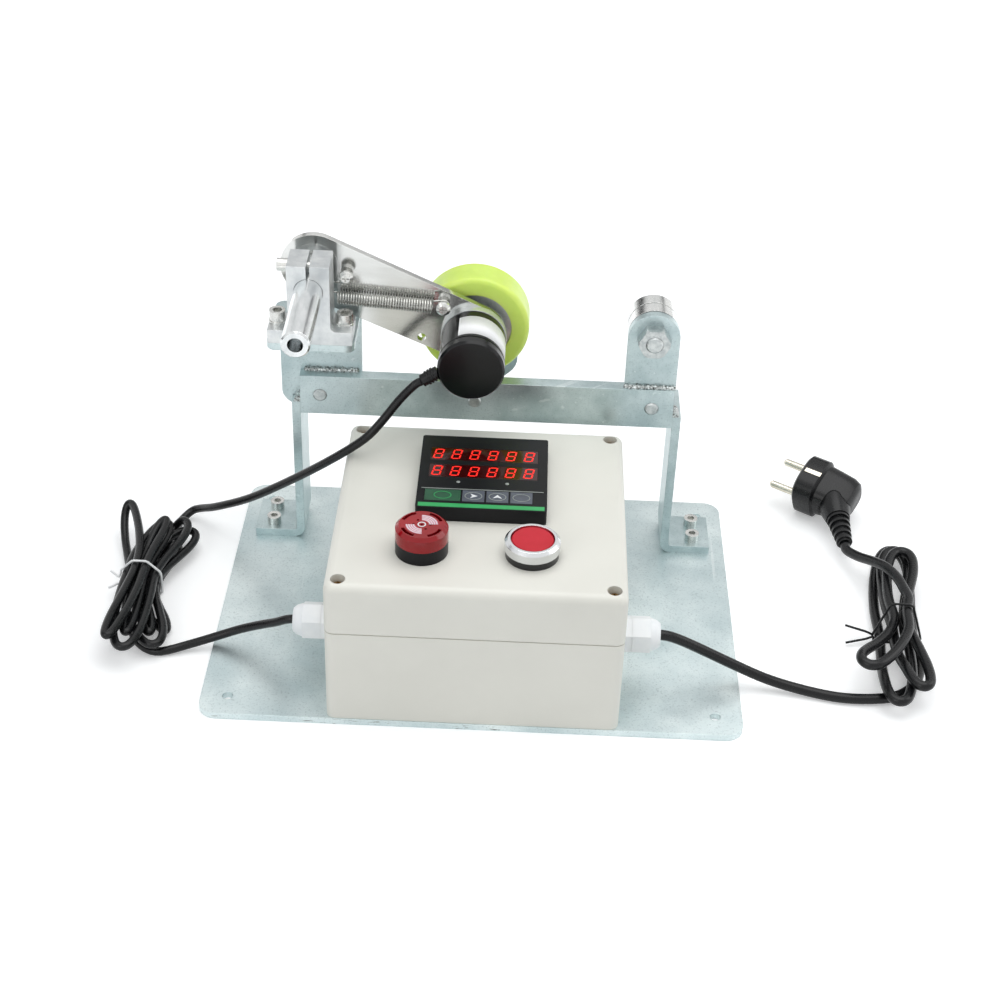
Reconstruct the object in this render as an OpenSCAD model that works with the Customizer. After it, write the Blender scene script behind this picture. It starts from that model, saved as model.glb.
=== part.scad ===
// Bench-top cable length counter: a measuring wheel on a sprung arm over a
// steel frame with guide rollers, a control box, and its two black cords.
// Millimetres. X to the right, Y away from the front, Z up, floor at z = 0.

/* [Base plate] */
// Width of the base plate
plate_w = 300; // [280:1:360]
// Depth of the base plate
plate_d = 222; // [215:1:260]
// Thickness of the base plate
plate_t = 4; // [3:0.5:8]
// Corner radius of the base plate
plate_r = 10; // [4:1:20]
// Side spacing of the mounting holes
mount_sx = 270; // [240:1:274]
// Depth spacing of the mounting holes
mount_sy = 192; // [170:1:200]
// Radius of a mounting hole
mount_r = 3; // [2:0.25:4]

/* [Frame] */
// Clear width between the uprights
frame_w = 220; // [210:1:230]
// Thickness of the bent upright strip
strip_t = 5; // [4:0.5:6]
// Width of the bent upright strip
strip_w = 32; // [28:1:40]
// Height of an upright above the plate
upright_h = 98.5; // [92:0.5:105]
// Length of an upright's foot
foot_l = 30.5; // [26:0.5:34]
// Inner radius of the bend at a foot
bend_r = 2; // [1:0.5:4]
// Front face of the uprights and the crossbar
frame_y = 56; // [54:1:60]
// Height of the crossbar's underside above the plate
bar_lift = 91; // [86:0.5:96]
// Height of the crossbar
bar_h = 25.5; // [22:0.5:30]
// Thickness of the crossbar
bar_t = 8; // [6:0.5:10]
// Radius of a weld bead
weld_r = 2; // [1:0.25:3]

/* [Guide rollers] */
// Distance from the crossbar's top to the roller bolts
bolt_drop = 12.8; // [11.5:0.1:14]
// Side position of the left roller
left_roller_x = -98.2; // [-100:0.1:-96]
// Side position of the centre roller
centre_roller_x = -7; // [-12:0.5:0]
// Side position of the right roller
right_roller_x = 97.2; // [95:0.1:99]
// Radius of a lower guide roller
roller_r = 11; // [9:0.25:12]
// Width of one ring of a guide roller
ring_w = 7; // [6:0.5:8]
// Radius of the roller bolts
bolt_r = 4; // [3:0.25:5]
// Side position of the upper right roller
lug_x = 95.5; // [93:0.5:97]
// Width of the lug that holds the upper roller
lug_w = 30; // [26:1:32]
// Height of the upper roller's bolt above the crossbar
lug_h = 33; // [30:0.5:38]
// Radius of the upper roller
upper_r = 14.75; // [12:0.25:16]
// Width of one ring of the upper roller
upper_ring_w = 10; // [8:0.5:11]
// Radius of the upper roller's bolt
lug_bolt_r = 5; // [4:0.25:6]

/* [Left bracket] */
// Width of the upright plate on the left
side_w = 47.5; // [44:0.5:52]
// Height of that plate
side_h = 57.5; // [50:0.5:64]
// Thickness of that plate and of the lug
side_t = 5; // [4:0.5:6]
// Width and depth of the shelf
shelf_w = 49.5; // [49:0.5:56]
// Thickness of the shelf
shelf_t = 4.5; // [3:0.5:6]
// Side position of the arm's pivot
pivot_x = -99.5; // [-100.5:0.1:-98.5]

/* [Clamp block and shaft] */
// Width of the block's foot
block_w = 47.6; // [46:0.2:49]
// Depth of the block
block_d = 21; // [16:0.5:22]
// Thickness of the block's foot
block_foot = 8.3; // [6:0.1:10]
// Width of the block's upper part
block_neck = 23.8; // [22:0.2:26]
// Height of the block
block_h = 48.5; // [46:0.5:52]
// Height of the shaft above the shelf
block_axis = 33; // [30:0.5:34]
// Width of the clamping slit
slit_w = 2; // [1:0.25:3]
// Spacing of the block's foot screws
foot_pitch = 38; // [36:0.5:40]
// Radius of the shaft
shaft_r = 8; // [7:0.25:8.5]
// Free length of the shaft in front of the block
shaft_out = 58.3; // [40:0.1:70]
// Radius of the threaded hole in the shaft's end
shaft_hole_r = 4.25; // [3:0.25:5]
// Depth of that threaded hole
shaft_hole_l = 25; // [15:1:35]

/* [Arm and encoder] */
// Thickness of the arm
arm_t = 4; // [3:0.5:5]
// Radius of the arm's pivot end
arm_r1 = 19.5; // [18:0.25:21]
// Radius of the arm's wheel end
arm_r2 = 18.5; // [17:0.25:20]
// Outer radius of the pivot bearing
bearing_r = 14; // [13:0.25:15]
// Width of the pivot bearing
bearing_w = 8; // [6:0.5:10]
// Radius of the encoder
encoder_r = 19; // [16:0.25:20]
// Length of the encoder's housing
encoder_l = 28; // [24:0.5:34]
// Length of the encoder's end cap
cap_l = 8; // [6:0.5:10]
// Thickness of the encoder's flange
flange_t = 5; // [4:0.5:6]
// Radius of the encoder's shaft
spindle_r = 3; // [2.5:0.25:4]

/* [Measuring wheel] */
// Side position of the measuring wheel
wheel_x = -8.5; // [-12:0.5:0]
// Radius of the measuring wheel
wheel_r = 31.83; // [28:0.01:34]
// Width of the measuring wheel
wheel_w = 22; // [18:0.5:24]
// Radius of the wheel's hub
hub_r = 21.5; // [18:0.5:24]
// Gap between the wheel and the centre roller at rest
rest_gap = 0.3; // [0.1:0.1:1]

/* [Tension spring] */
// Outer radius of the spring
spring_r = 4; // [3:0.25:5]
// Thickness of the spring's wire
wire_d = 1; // [0.8:0.1:1.1]
// Number of coils
coils = 36; // [20:1:36]

/* [Control box] */
// Side length of the control box
box_w = 160; // [150:1:165]
// Side position of the box's centre
box_x = 1; // [-2:0.5:4]
// Depth position of the box's centre
box_y = -30.5; // [-31:0.5:-28]
// Height of the lower shell
base_h = 58.5; // [52:0.5:70]
// Height of the lid
lid_h = 31.5; // [26:0.5:33]
// Wall of the box
wall = 3.2; // [2.5:0.1:4]
// Corner radius of the box
corner_r = 5; // [4:0.5:8]
// Distance of the lid screws from the box's sides
screw_in = 7.5; // [7:0.5:9]
// Radius of the lid screw wells
well_r = 4; // [3.5:0.25:4.5]
// Depth of the lid screw wells
well_d = 6; // [3:0.5:10]

/* [Panel meter] */
// Side length of the meter's bezel
meter_w = 72; // [68:0.5:76]
// Height of the bezel above the lid
bezel_h = 8.9; // [7:0.1:11]
// Side length of the meter's case
case_w = 67; // [62:0.5:67]
// Length of the meter's case
case_l = 70; // [50:1:76]
// Depth position of the meter's centre from the box's centre
meter_dy = 19.5; // [17:0.5:22]
// Width of a meter key
key_w = 12.2; // [10:0.2:12.6]
// Depth of a meter key
key_d = 10.6; // [8:0.2:11.4]
// Travel of a meter key
key_travel = 0.5; // [0.3:0.1:1]

/* [Buzzer and button] */
// Side position of the buzzer from the box's centre
buzzer_dx = -30.4; // [-36:0.1:-28]
// Side position of the button from the box's centre
button_dx = 28.7; // [26:0.1:34]
// Depth position of both from the box's centre
panel_dy = -44.3; // [-50:0.1:-42]
// Radius of the buzzer
buzzer_r = 14.25; // [13:0.25:15]
// Height of the buzzer's black foot
buzzer_foot = 8; // [6:0.5:10]
// Height of the buzzer's red lens
buzzer_lens_h = 9; // [7:0.5:12]
// Radius of the button's ring
button_r = 15; // [14:0.25:16]
// Radius of the button's cap
cap_r = 11.6; // [10:0.1:12]
// Travel of the button
button_travel = 3; // [2:0.5:4]
// Radius of the threaded necks under the lid
neck_r = 11; // [9:0.25:12]

/* [Cable glands] */
// Height of the glands above the plate
gland_z = 32; // [26:0.5:38]
// Depth position of the glands from the box's centre
gland_dy = -35.5; // [-45:0.5:-20]
// Width across the flats of a gland
gland_af = 19; // [17:0.5:22]
// Radius of a gland's thread
gland_neck_r = 7.6; // [6.5:0.1:8]

/* [Cords and plug] */
// Thickness of the encoder's cord
thin_d = 5; // [4:0.1:5.4]
// Thickness of the power cord
thick_d = 6; // [5:0.1:6.4]
// Radius of the plug's body
plug_r = 17.5; // [16:0.25:18]
// Length of the plug's pins
pin_l = 19; // [17:0.5:20]

/* [Hidden] */
$fn = 64;
gap = 0.1;
run = 0.05;

// Heights and depths that follow from the sizes above
bar_z = plate_t + bar_lift;
bar_top = bar_z + bar_h;
bar_back = frame_y + bar_t;
roller_z = bar_top - bolt_drop;
roller_y = bar_back + 3;
roller_w = 3 * ring_w;
side_x = pivot_x - side_w / 2 + 1.7;
side_z = bar_z + 1;
shelf_z = side_z + side_h;
shelf_top = shelf_z + shelf_t;
shelf_y = 28;
pivot_z = shelf_top + block_axis;
block_back = shelf_y + block_d;
arm_y = block_back + 10;
wheel_y = arm_y + arm_t + 4;
wheel_z = roller_z + sqrt(pow(roller_r + wheel_r + rest_gap, 2)
    - pow(wheel_x - centre_roller_x, 2));
spring_y = arm_y - 6;
lug_z = bar_top + lug_h;
upper_y = bar_back + 1;
lug_front = bar_back - side_t;
box_top = plate_t + base_h + lid_h;
split_z = plate_t + base_h;
box_front = box_y - box_w / 2;
meter_x = box_x;
meter_y = box_y + meter_dy;
panel_y = box_y + panel_dy;
buzzer_x = box_x + buzzer_dx;
button_x = box_x + button_dx;
gland_y = box_y + gland_dy;
gland_h = plate_t + gland_z;

// The arm's own directions: along it from the pivot, and square to it
arm_len = norm([wheel_x - pivot_x, wheel_z - pivot_z]);
arm_dir = [wheel_x - pivot_x, wheel_z - pivot_z] / arm_len;
arm_nor = [-arm_dir[1], arm_dir[0]];
function on_arm(s, n) = [pivot_x, pivot_z] + s * arm_dir + n * arm_nor;
spring_pin = on_arm(74.7, 13.3);
stop_pin = on_arm(17.7, 5.6);
light_hole = on_arm(73.1, -14.6);
anchor = [pivot_x + 5, pivot_z - 15.8];

// ---------- small tools ----------

// A square with rounded corners, centred
module round_square(w, d, r) {
    square([w - 2 * r, d], center = true);
    square([w, d - 2 * r], center = true);
    for (x = [-1, 1], y = [-1, 1])
        translate([x * (w / 2 - r), y * (d / 2 - r)])
            circle(r);
}

// A cylinder along Y from y0, length l, at x and z
module rod_y(x, z, y0, l, r) {
    translate([x, y0 + l, z])
        rotate([90, 0, 0])
            cylinder(h = l, r = r);
}

// A ring along Y
module ring_y(x, z, y0, l, r, bore) {
    difference() {
        rod_y(x, z, y0, l, r);
        rod_y(x, z, y0 - 1, l + 2, bore);
    }
}

// A flat shape in X and Z, thickened along Y from y0
module plate_y(y0, t) {
    translate([0, y0 + t, 0])
        rotate([90, 0, 0])
            linear_extrude(height = t)
                children();
}

// A hexagon across flats af
module hex(af) {
    circle(d = af / cos(30), $fn = 6);
}

// A socket-headed screw along -Z with its head's underside at the origin
module socket_screw(r, head_r, head_h, l, key_r) {
    difference() {
        cylinder(h = head_h, r = head_r);
        translate([0, 0, head_h * 0.45])
            cylinder(h = head_h, r = key_r, $fn = 6);
    }
    translate([0, 0, -l])
        cylinder(h = l + 0.01, r = r);
}

// A pan-headed screw along -Z with a cross in its head
module pan_screw(r, head_r, head_h, l) {
    difference() {
        union() {
            cylinder(h = head_h * 0.55, r = head_r);
            translate([0, 0, head_h * 0.55])
                cylinder(h = head_h * 0.45, r1 = head_r, r2 = head_r * 0.62);
        }
        translate([-head_r * 0.5, -head_r * 0.09, head_h * 0.5])
            cube([head_r, head_r * 0.18, head_h]);
        translate([-head_r * 0.09, -head_r * 0.5, head_h * 0.5])
            cube([head_r * 0.18, head_r, head_h]);
    }
    translate([0, 0, -l])
        cylinder(h = l + 0.01, r = r);
}

// ---------- tubes along a route ----------

function unit(v) = v / norm(v);
function clamp01(u) = min(1, max(0, u));
function ease(u) = clamp01(u) * clamp01(u) * (3 - 2 * clamp01(u));

// Points on a smooth curve through p, n steps to each stretch
function smooth(p, n) = [
    for (i = [0 : len(p) - 2])
        for (k = [0 : n - 1])
            let (u = k / n,
                a = i > 0 ? p[i - 1] : 2 * p[0] - p[1],
                b = p[i],
                c = p[i + 1],
                d = i < len(p) - 2 ? p[i + 2] : 2 * c - b)
            0.5 * (2 * b + (c - a) * u + (2 * a - 5 * b + 4 * c - d) * u * u
                + (3 * b - a - 3 * c + d) * u * u * u),
    p[len(p) - 1]];

function heading(p, i) = i == 0 ? unit(p[1] - p[0])
    : i == len(p) - 1 ? unit(p[i] - p[i - 1])
    : unit(unit(p[i + 1] - p[i]) + unit(p[i] - p[i - 1]));
function across(v, t) = unit(v - (v * t) * t);

// One closed tube round the route p, made of triangles
module tube(p, r, sides) {
    n = len(p);
    t0 = heading(p, 0);
    first = across(abs(t0[2]) < 0.8 ? [0, 0, 1] : [0, 1, 0], t0);
    ups = [for (i = 0, u = first; i < n;
        i = i + 1, u = i < n ? across(u, heading(p, i)) : u) u];
    rings = [for (i = [0 : n - 1])
        let (t = heading(p, i), u = ups[i], v = cross(t, u))
        for (k = [0 : sides - 1])
            p[i] + r * (cos(360 * k / sides) * u + sin(360 * k / sides) * v)];
    skin = [for (i = [0 : n - 2], k = [0 : sides - 1])
        let (a = i * sides + k, b = i * sides + (k + 1) % sides)
        each [[a, a + sides, b + sides], [a, b + sides, b]]];
    start = [for (k = [1 : sides - 2]) [0, k, k + 1]];
    last = (n - 1) * sides;
    end = [for (k = [1 : sides - 2]) [last, last + k + 1, last + k]];
    polyhedron(points = rings, faces = concat(skin, start, end));
}

// Points every few millimetres along a route, each with its distance from the start
function finer(p, n) = [for (i = [0 : len(p) - 2], k = [0 : n - 1])
    p[i] + (p[i + 1] - p[i]) * k / n];
function length(p, i = 0) = i >= len(p) - 1 ? 0
    : norm(p[i + 1] - p[i]) + length(p, i + 1);
function least_gap(p, n, skip, d) = let (q = finer(p, n))
    min([for (i = [0 : len(q) - 1 - skip])
        min([for (j = [i + skip : len(q) - 1]) norm(q[i] - q[j])])]) - d;

// ---------- tied hanks ----------

// Half a turn of a hank: out from the waist at side place a, round the end
// and back at side place b. up is 1 for the far end and -1 for the near end.
function half_turn(waist, a, b, za, zb, up, lean, reach, half, r0, r1) = [
    for (i = [0 : 11])
        let (u = i / 12,
            c = cos(180 * u),
            s = reach * sin(180 * u),
            turn = lean * (1 - pow(1 - sin(180 * u), 2)),
            side = (a + b) / 2 + (a - b) / 2 * c
                + sign(a - b) * (half - abs(a - b) / 2) * pow(sin(180 * u), 1.2)
                * sign(c) * pow(abs(c), 0.8))
        [waist[0] + side * cos(turn) + s * sin(turn),
            waist[1] + up * (s * cos(turn) - side * sin(turn)),
            za + (zb - za) * ease((u - r0) / (r1 - r0))]];

// The turns of a hank: each row is a half turn, and the next row starts
// where it ends. A row is side place, height, lean, reach, half width and
// the part of the half turn in which the height changes.
function hank(waist, rows, first_up) = [
    for (i = [0 : len(rows) - 2])
        each half_turn(waist, rows[i][0], rows[i + 1][0], rows[i][1], rows[i + 1][1],
            first_up * (i % 2 == 0 ? 1 : -1), rows[i][2], rows[i][3], rows[i][4],
            rows[i][5], rows[i][6])];

// ---------- where the cords run ----------

thin_r = thin_d / 2;
thick_r = thick_d / 2;
lift = 1.8;

// Where each hank is tied, and the spacing of its strands there
sensor_waist = [-200, -4];
sensor_step = thin_d + 0.6;
sensor_low = thin_r + lift;
power_waist = [246, -19];
power_step = thick_d + 0.6;
power_low = thick_r + lift;
left_mouth = box_x - box_w / 2;
right_mouth = box_x + box_w / 2;

// The encoder's cord, from its strain relief down to its hank, and on to
// the left gland
sensor_points = [[-36, 20, 142], [-40.2, 19, 139.6], [-48.5, 18, 130], [-58, 15, 117.5],
    [-68, 11.5, 107], [-88, 17.5, 88], [-114, 32, 62.5], [-142, 48, 37], [-165.5, 63, 19], [-176, 72, 11], [-183, 75.5, 6.5],
    [-188.2, 69.5, 4.3], [-190.5, 60, 4.3]];
sensor_tail_points = [[-205, -26, 4.3], [-201.5, -36, 3.6], [-196, -48, 2.8], [-188.5, -56.5, 2.6],
    [-179, -59, 2.6], [-163, -54, 4.8], [-148, -51, 9], [-134, -51, 15], [-121, -56, 23],
    [-112, -62, 30], [left_mouth - 24, gland_y, gland_h],
    [left_mouth - 12, gland_y, gland_h], [left_mouth + 10, gland_y, gland_h]];

// Each row: side place, height, lean, reach, half width, and where the
// height changes along the half turn
sensor_rows = let (p = sensor_step, z = sensor_low) [
    [1.5 * p, z, 24.6, 43.1, 5.3, 0, 1],
    [-0.5 * p, z, 19.2, 39.4, 4.6, 0.27, 0.39],
    [0.5 * p, z + p, 15.8, 48.7, 4.6, 0, 1],
    [-0.5 * p, z + p, 18.2, 56.5, 14.1, 0, 1],
    [1.5 * p, z + p, 17.1, 60.3, 13.2, 0, 1],
    [-1.5 * p, z + p, 14.2, 58.4, 15.4, 0.41, 0.53],
    [1.5 * p, z + 2 * p, 2, 67.8, 12.6, 0, 1],
    [-1.5 * p, z + 2 * p, 9.1, 52.8, 9.6, 0, 1],
    [0.5 * p, z + 2 * p, 1.9, 54.5, 4.6, 0, 1],
    [-0.5 * p, z + 2 * p, 7.4, 48.3, 4.6, 0.1, 0.36],
    [0.5 * p, z + 3 * p, -5.7, 65.3, 5.7, 0, 1],
    [-0.5 * p, z + 3 * p, -12.2, 66.9, 7.3, 0.44, 0.85],
    [-1.5 * p, z, 0, 0, 0, 0, 1]];
sensor_hank_route = concat(
    [sensor_points[len(sensor_points) - 1], [-188.5, 47, sensor_low], [-185.1, 34, sensor_low],
        [-188.4, 20, sensor_low], [-191.3, 8, sensor_low]],
    hank(sensor_waist, sensor_rows, -1),
    [[sensor_waist[0] - 1.5 * sensor_step, sensor_waist[1], sensor_low],
        [-209.5, -15, sensor_low], sensor_tail_points[0]]);

// The power cord, from the right gland to its hank, and on to the plug
power_points = [[right_mouth - 10, gland_y, gland_h], [right_mouth + 12, gland_y, gland_h],
    [right_mouth + 24, gland_y, gland_h], [114, -65.5, 33], [128, -64, 25], [146, -64.5, 16],
    [166, -66, 7.5], [188, -70, 3.6], [208, -74, 3], [227, -74, 3.4]];
lead_points = [[250.5, 1, 24.7], [248, 12, 24.8], [243, 22, 24.6], [237.5, 33, 20.5], [231, 45, 14.8],
    [225.4, 55.5, 11.6], [224.8, 61, 12]];
power_rows = let (p = power_step, z = power_low) [
    [1.5 * p, z, 6, 86, 16, 0, 1],
    [-1.5 * p, z, -4.4, 66.1, 12.9, 0.05, 0.3],
    [0.5 * p, z + p, 6.7, 77.1, 14.5, 0, 1],
    [-0.5 * p, z + p, 4.9, 59.9, 11, 0.07, 0.3],
    [0.5 * p, z + 2 * p, 9.6, 67.8, 13.9, 0, 1],
    [-0.5 * p, z + 2 * p, -27.1, 56.9, 14, 0.1, 0.4],
    [0.5 * p, z + 3 * p, 0, 0, 0, 0, 1]];
power_hank_route = concat(
    [power_points[len(power_points) - 1], [240, -71, 4], [250, -62, power_low], [255, -49, power_low],
        [256, -35, power_low]],
    hank(power_waist, power_rows, 1),
    [[power_waist[0] + 0.5 * power_step, power_waist[1], power_low + 3 * power_step],
        [251.8, -8, 24.6], lead_points[0]]);

echo(sensor_hank_gap = least_gap(sensor_hank_route, 4, 24, thin_d));
echo(power_hank_gap = least_gap(power_hank_route, 4, 24, thick_d));
echo(sensor_cord_length = length(smooth(sensor_points, 3)) + length(sensor_hank_route)
    + length(smooth(sensor_tail_points, 2)));
echo(power_cord_length = length(smooth(power_points, 2)) + length(power_hank_route)
    + length(smooth(lead_points, 2)));

// ---------- frame ----------

module base_plate() {
    color([0.72, 0.78, 0.80])
    difference() {
        linear_extrude(height = plate_t)
            difference() {
                round_square(plate_w, plate_d, plate_r);
                for (x = [-1, 1], y = [-1, 1])
                    translate([x * mount_sx / 2, y * mount_sy / 2])
                        circle(mount_r);
                for (x = [-1, 1], y = [-1, 1])
                    translate([x * foot_x, foot_y + y * foot_gap / 2])
                        circle(foot_screw_r + gap);
            }
    }
}
foot_x = frame_w / 2 + foot_l - 10.5;
foot_y = frame_y + strip_w / 2 - 0.2;
foot_gap = 16;
foot_screw_r = 2.5;

// One bent strip seen from the front, its inner face at x = 0
module strip_profile() {
    bend_out = bend_r + strip_t;
    translate([0, bend_out])
        square([strip_t, upright_h - bend_out]);
    translate([bend_out, 0])
        square([foot_l - bend_out, strip_t]);
    intersection() {
        translate([bend_out, bend_out])
            difference() {
                circle(bend_out);
                circle(bend_r);
            }
        square(bend_out);
    }
}

module uprights() {
    color([0.72, 0.78, 0.80])
    for (m = [0, 1])
        mirror([m, 0, 0])
            difference() {
                translate([frame_w / 2, 0, plate_t])
                    plate_y(frame_y, strip_w)
                        strip_profile();
                for (y = [-1, 1])
                    translate([foot_x, foot_y + y * foot_gap / 2, plate_t - 1])
                        cylinder(h = strip_t + 2, r = foot_screw_r + 0.25);
            }
}

module foot_screws() {
    color([0.75, 0.76, 0.78])
    for (x = [-1, 1], y = [-1, 1])
        translate([x * foot_x, foot_y + y * foot_gap / 2, plate_t + strip_t])
            socket_screw(foot_screw_r, 4.25, 5, strip_t + plate_t - 0.2, 2.3);
}

module crossbar() {
    color([0.72, 0.78, 0.80])
    difference() {
        translate([-frame_w / 2, frame_y, bar_z])
            cube([frame_w, bar_t, bar_h]);
        for (x = [left_roller_x, centre_roller_x, right_roller_x])
            rod_y(x, roller_z, frame_y - 1, bar_t + 2, bolt_r + gap);
    }
}

module weld_beads() {
    color([0.55, 0.56, 0.55])
    {
        for (m = [0, 1])
            mirror([m, 0, 0])
                translate([frame_w / 2, frame_y, plate_t + upright_h])
                    intersection() {
                        rotate([-90, 0, 0])
                            cylinder(h = bar_t, r = weld_r * 2);
                        cube([weld_r * 2, bar_t, weld_r * 2]);
                    }
        translate([side_x + 14, bar_back, bar_top])
            intersection() {
                rotate([0, 90, 0])
                    cylinder(h = side_w - 16, r = weld_r);
                translate([0, -weld_r, 0])
                    cube([side_w - 16, weld_r, weld_r]);
            }
        translate([lug_x - lug_w / 2, lug_front, bar_top])
            intersection() {
                rotate([0, 90, 0])
                    cylinder(h = lug_w, r = weld_r);
                translate([0, -weld_r, 0])
                    cube([lug_w, weld_r, weld_r]);
            }
    }
}

module side_plate() {
    side_r = 10;
    color([0.72, 0.78, 0.80])
    difference() {
        plate_y(bar_back, side_t)
            difference() {
                union() {
                    translate([side_x, side_z + side_r])
                        square([side_w, side_h - side_r]);
                    translate([side_x + side_r, side_z])
                        square([side_w - 2 * side_r, side_h]);
                    for (x = [side_x + side_r, side_x + side_w - side_r])
                        translate([x, side_z + side_r])
                            circle(side_r);
                }
                translate([-frame_w / 2 - strip_t - 0.3, side_z - 5])
                    square([strip_t + 0.6, plate_t + upright_h - side_z + 5.3]);
            }
        rod_y(left_roller_x, roller_z, bar_back - 1, side_t + 2, bolt_r + gap);
    }
}

module shelf_plate() {
    color([0.72, 0.78, 0.80])
    difference() {
        translate([pivot_x, shelf_y + shelf_w / 2, shelf_z])
            linear_extrude(height = shelf_t)
                round_square(shelf_w, shelf_w, 5);
        for (x = [-1, 1])
            translate([pivot_x + x * foot_pitch / 2, shelf_y + block_d / 2, shelf_z - 1])
                cylinder(h = shelf_t + 2, r = block_screw_r + gap);
    }
}
block_screw_r = 3;

module right_lug() {
    color([0.72, 0.78, 0.80])
    plate_y(lug_front, side_t)
        difference() {
            union() {
                translate([lug_x, lug_z])
                    circle(lug_w / 2);
                translate([lug_x - lug_w / 2, bar_top])
                    square([lug_w, lug_h]);
            }
            translate([lug_x, lug_z])
                circle(lug_bolt_r + gap);
        }
}

// ---------- guide rollers ----------

// Where each lower roller starts, counted from the front
left_roller_y = bar_back + side_t + 1;
roller_xs = [left_roller_x, centre_roller_x, right_roller_x];
roller_ys = [left_roller_y, roller_y, roller_y];
keeper_y = roller_y + roller_w + 4;
keeper_t = 3;
inner_r = bolt_r + 2;
upper_inner_r = lug_bolt_r + 3;

module guide_roller(i) {
    color([0.78, 0.79, 0.80])
    for (k = [0 : 2]) {
        ring_y(roller_xs[i], roller_z, roller_ys[i] + k * ring_w + 0.3,
            ring_w - 0.6, roller_r, inner_r + run);
        ring_y(roller_xs[i], roller_z, roller_ys[i] + k * ring_w,
            ring_w, roller_r - 0.4, inner_r + run);
    }
}
module left_roller() { guide_roller(0); }
module centre_roller() { guide_roller(1); }
module right_roller() { guide_roller(2); }

module upper_roller() {
    color([0.78, 0.79, 0.80])
    for (k = [0, 1]) {
        ring_y(lug_x, lug_z, upper_y + k * upper_ring_w + 0.4,
            upper_ring_w - 0.8, upper_r, upper_inner_r + run);
        ring_y(lug_x, lug_z, upper_y + k * upper_ring_w,
            upper_ring_w, upper_r - 0.6, upper_inner_r + run);
    }
}

module inner_rings() {
    color([0.70, 0.71, 0.72])
    {
        for (i = [0 : 2], k = [0 : 2])
            ring_y(roller_xs[i], roller_z, roller_ys[i] + k * ring_w,
                ring_w, inner_r, bolt_r + gap);
        for (k = [0, 1])
            ring_y(lug_x, lug_z, upper_y + k * upper_ring_w,
                upper_ring_w, upper_inner_r, lug_bolt_r + gap);
    }
}

// Depth of the head of each roller bolt
head_ys = [left_roller_y + roller_w + 1, keeper_y + keeper_t, roller_y + roller_w + 1];

module roller_bolts() {
    color([0.75, 0.76, 0.78])
    for (i = [0 : 2]) {
        translate([roller_xs[i], 0, roller_z])
            plate_y(head_ys[i], 5.3)
                hex(13);
        rod_y(roller_xs[i], roller_z, frame_y, head_ys[i] - frame_y + 0.01, bolt_r);
        translate([roller_xs[i], frame_y, roller_z])
            rotate([90, 0, 0])
                cylinder(h = 0.8, r1 = bolt_r, r2 = bolt_r - 0.8);
    }
}

module roller_washers() {
    color([0.70, 0.71, 0.72])
    {
        ring_y(left_roller_x, roller_z, bar_back + side_t, 1, inner_r - 0.4, bolt_r + gap);
        ring_y(left_roller_x, roller_z, left_roller_y + roller_w, 1, inner_r - 0.4, bolt_r + gap);
        for (x = [centre_roller_x, right_roller_x])
            ring_y(x, roller_z, bar_back, 3, inner_r - 0.4, bolt_r + gap);
        ring_y(centre_roller_x, roller_z, roller_y + roller_w, 4, inner_r - 0.4, bolt_r + gap);
        ring_y(right_roller_x, roller_z, roller_y + roller_w, 1, inner_r - 0.4, bolt_r + gap);
        ring_y(lug_x, lug_z, bar_back, 1, upper_inner_r - 0.5, lug_bolt_r + gap);
        ring_y(lug_x, lug_z, upper_y + 2 * upper_ring_w, 1, upper_inner_r - 0.5, lug_bolt_r + gap);
    }
}

module lug_bolt() {
    color([0.75, 0.76, 0.78])
    {
        head_y = upper_y + 2 * upper_ring_w + 1;
        translate([lug_x, 0, lug_z])
            plate_y(head_y, 6.4)
                hex(17);
        rod_y(lug_x, lug_z, lug_front - 8.2, head_y - lug_front + 8.21, lug_bolt_r);
        translate([lug_x, lug_front - 8.2, lug_z])
            rotate([90, 0, 0])
                cylinder(h = 0.8, r1 = lug_bolt_r, r2 = lug_bolt_r - 0.8);
        translate([lug_x, 0, lug_z])
            difference() {
                intersection() {
                    plate_y(lug_front - 8, 8)
                        hex(17);
                    translate([0, lug_front, 0])
                        rotate([90, 0, 0])
                            cylinder(h = 8, r1 = 10.2, r2 = 9.1);
                }
                rod_y(0, 0, lug_front - 9, 10, lug_bolt_r + gap);
            }
    }
}

module keeper_plate() {
    color([0.72, 0.78, 0.80])
    plate_y(keeper_y, keeper_t)
        difference() {
            union() {
                translate([centre_roller_x, roller_z])
                    circle(13.5);
                translate([centre_roller_x + 10.6, roller_z + 9.8])
                    circle(13.5);
                translate([centre_roller_x, roller_z])
                    rotate(atan2(9.8, 10.6))
                        translate([0, -13.5])
                            square([norm([10.6, 9.8]), 27]);
            }
            translate([centre_roller_x, roller_z])
                circle(bolt_r + gap);
        }
}

// ---------- clamp block and shaft ----------

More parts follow.
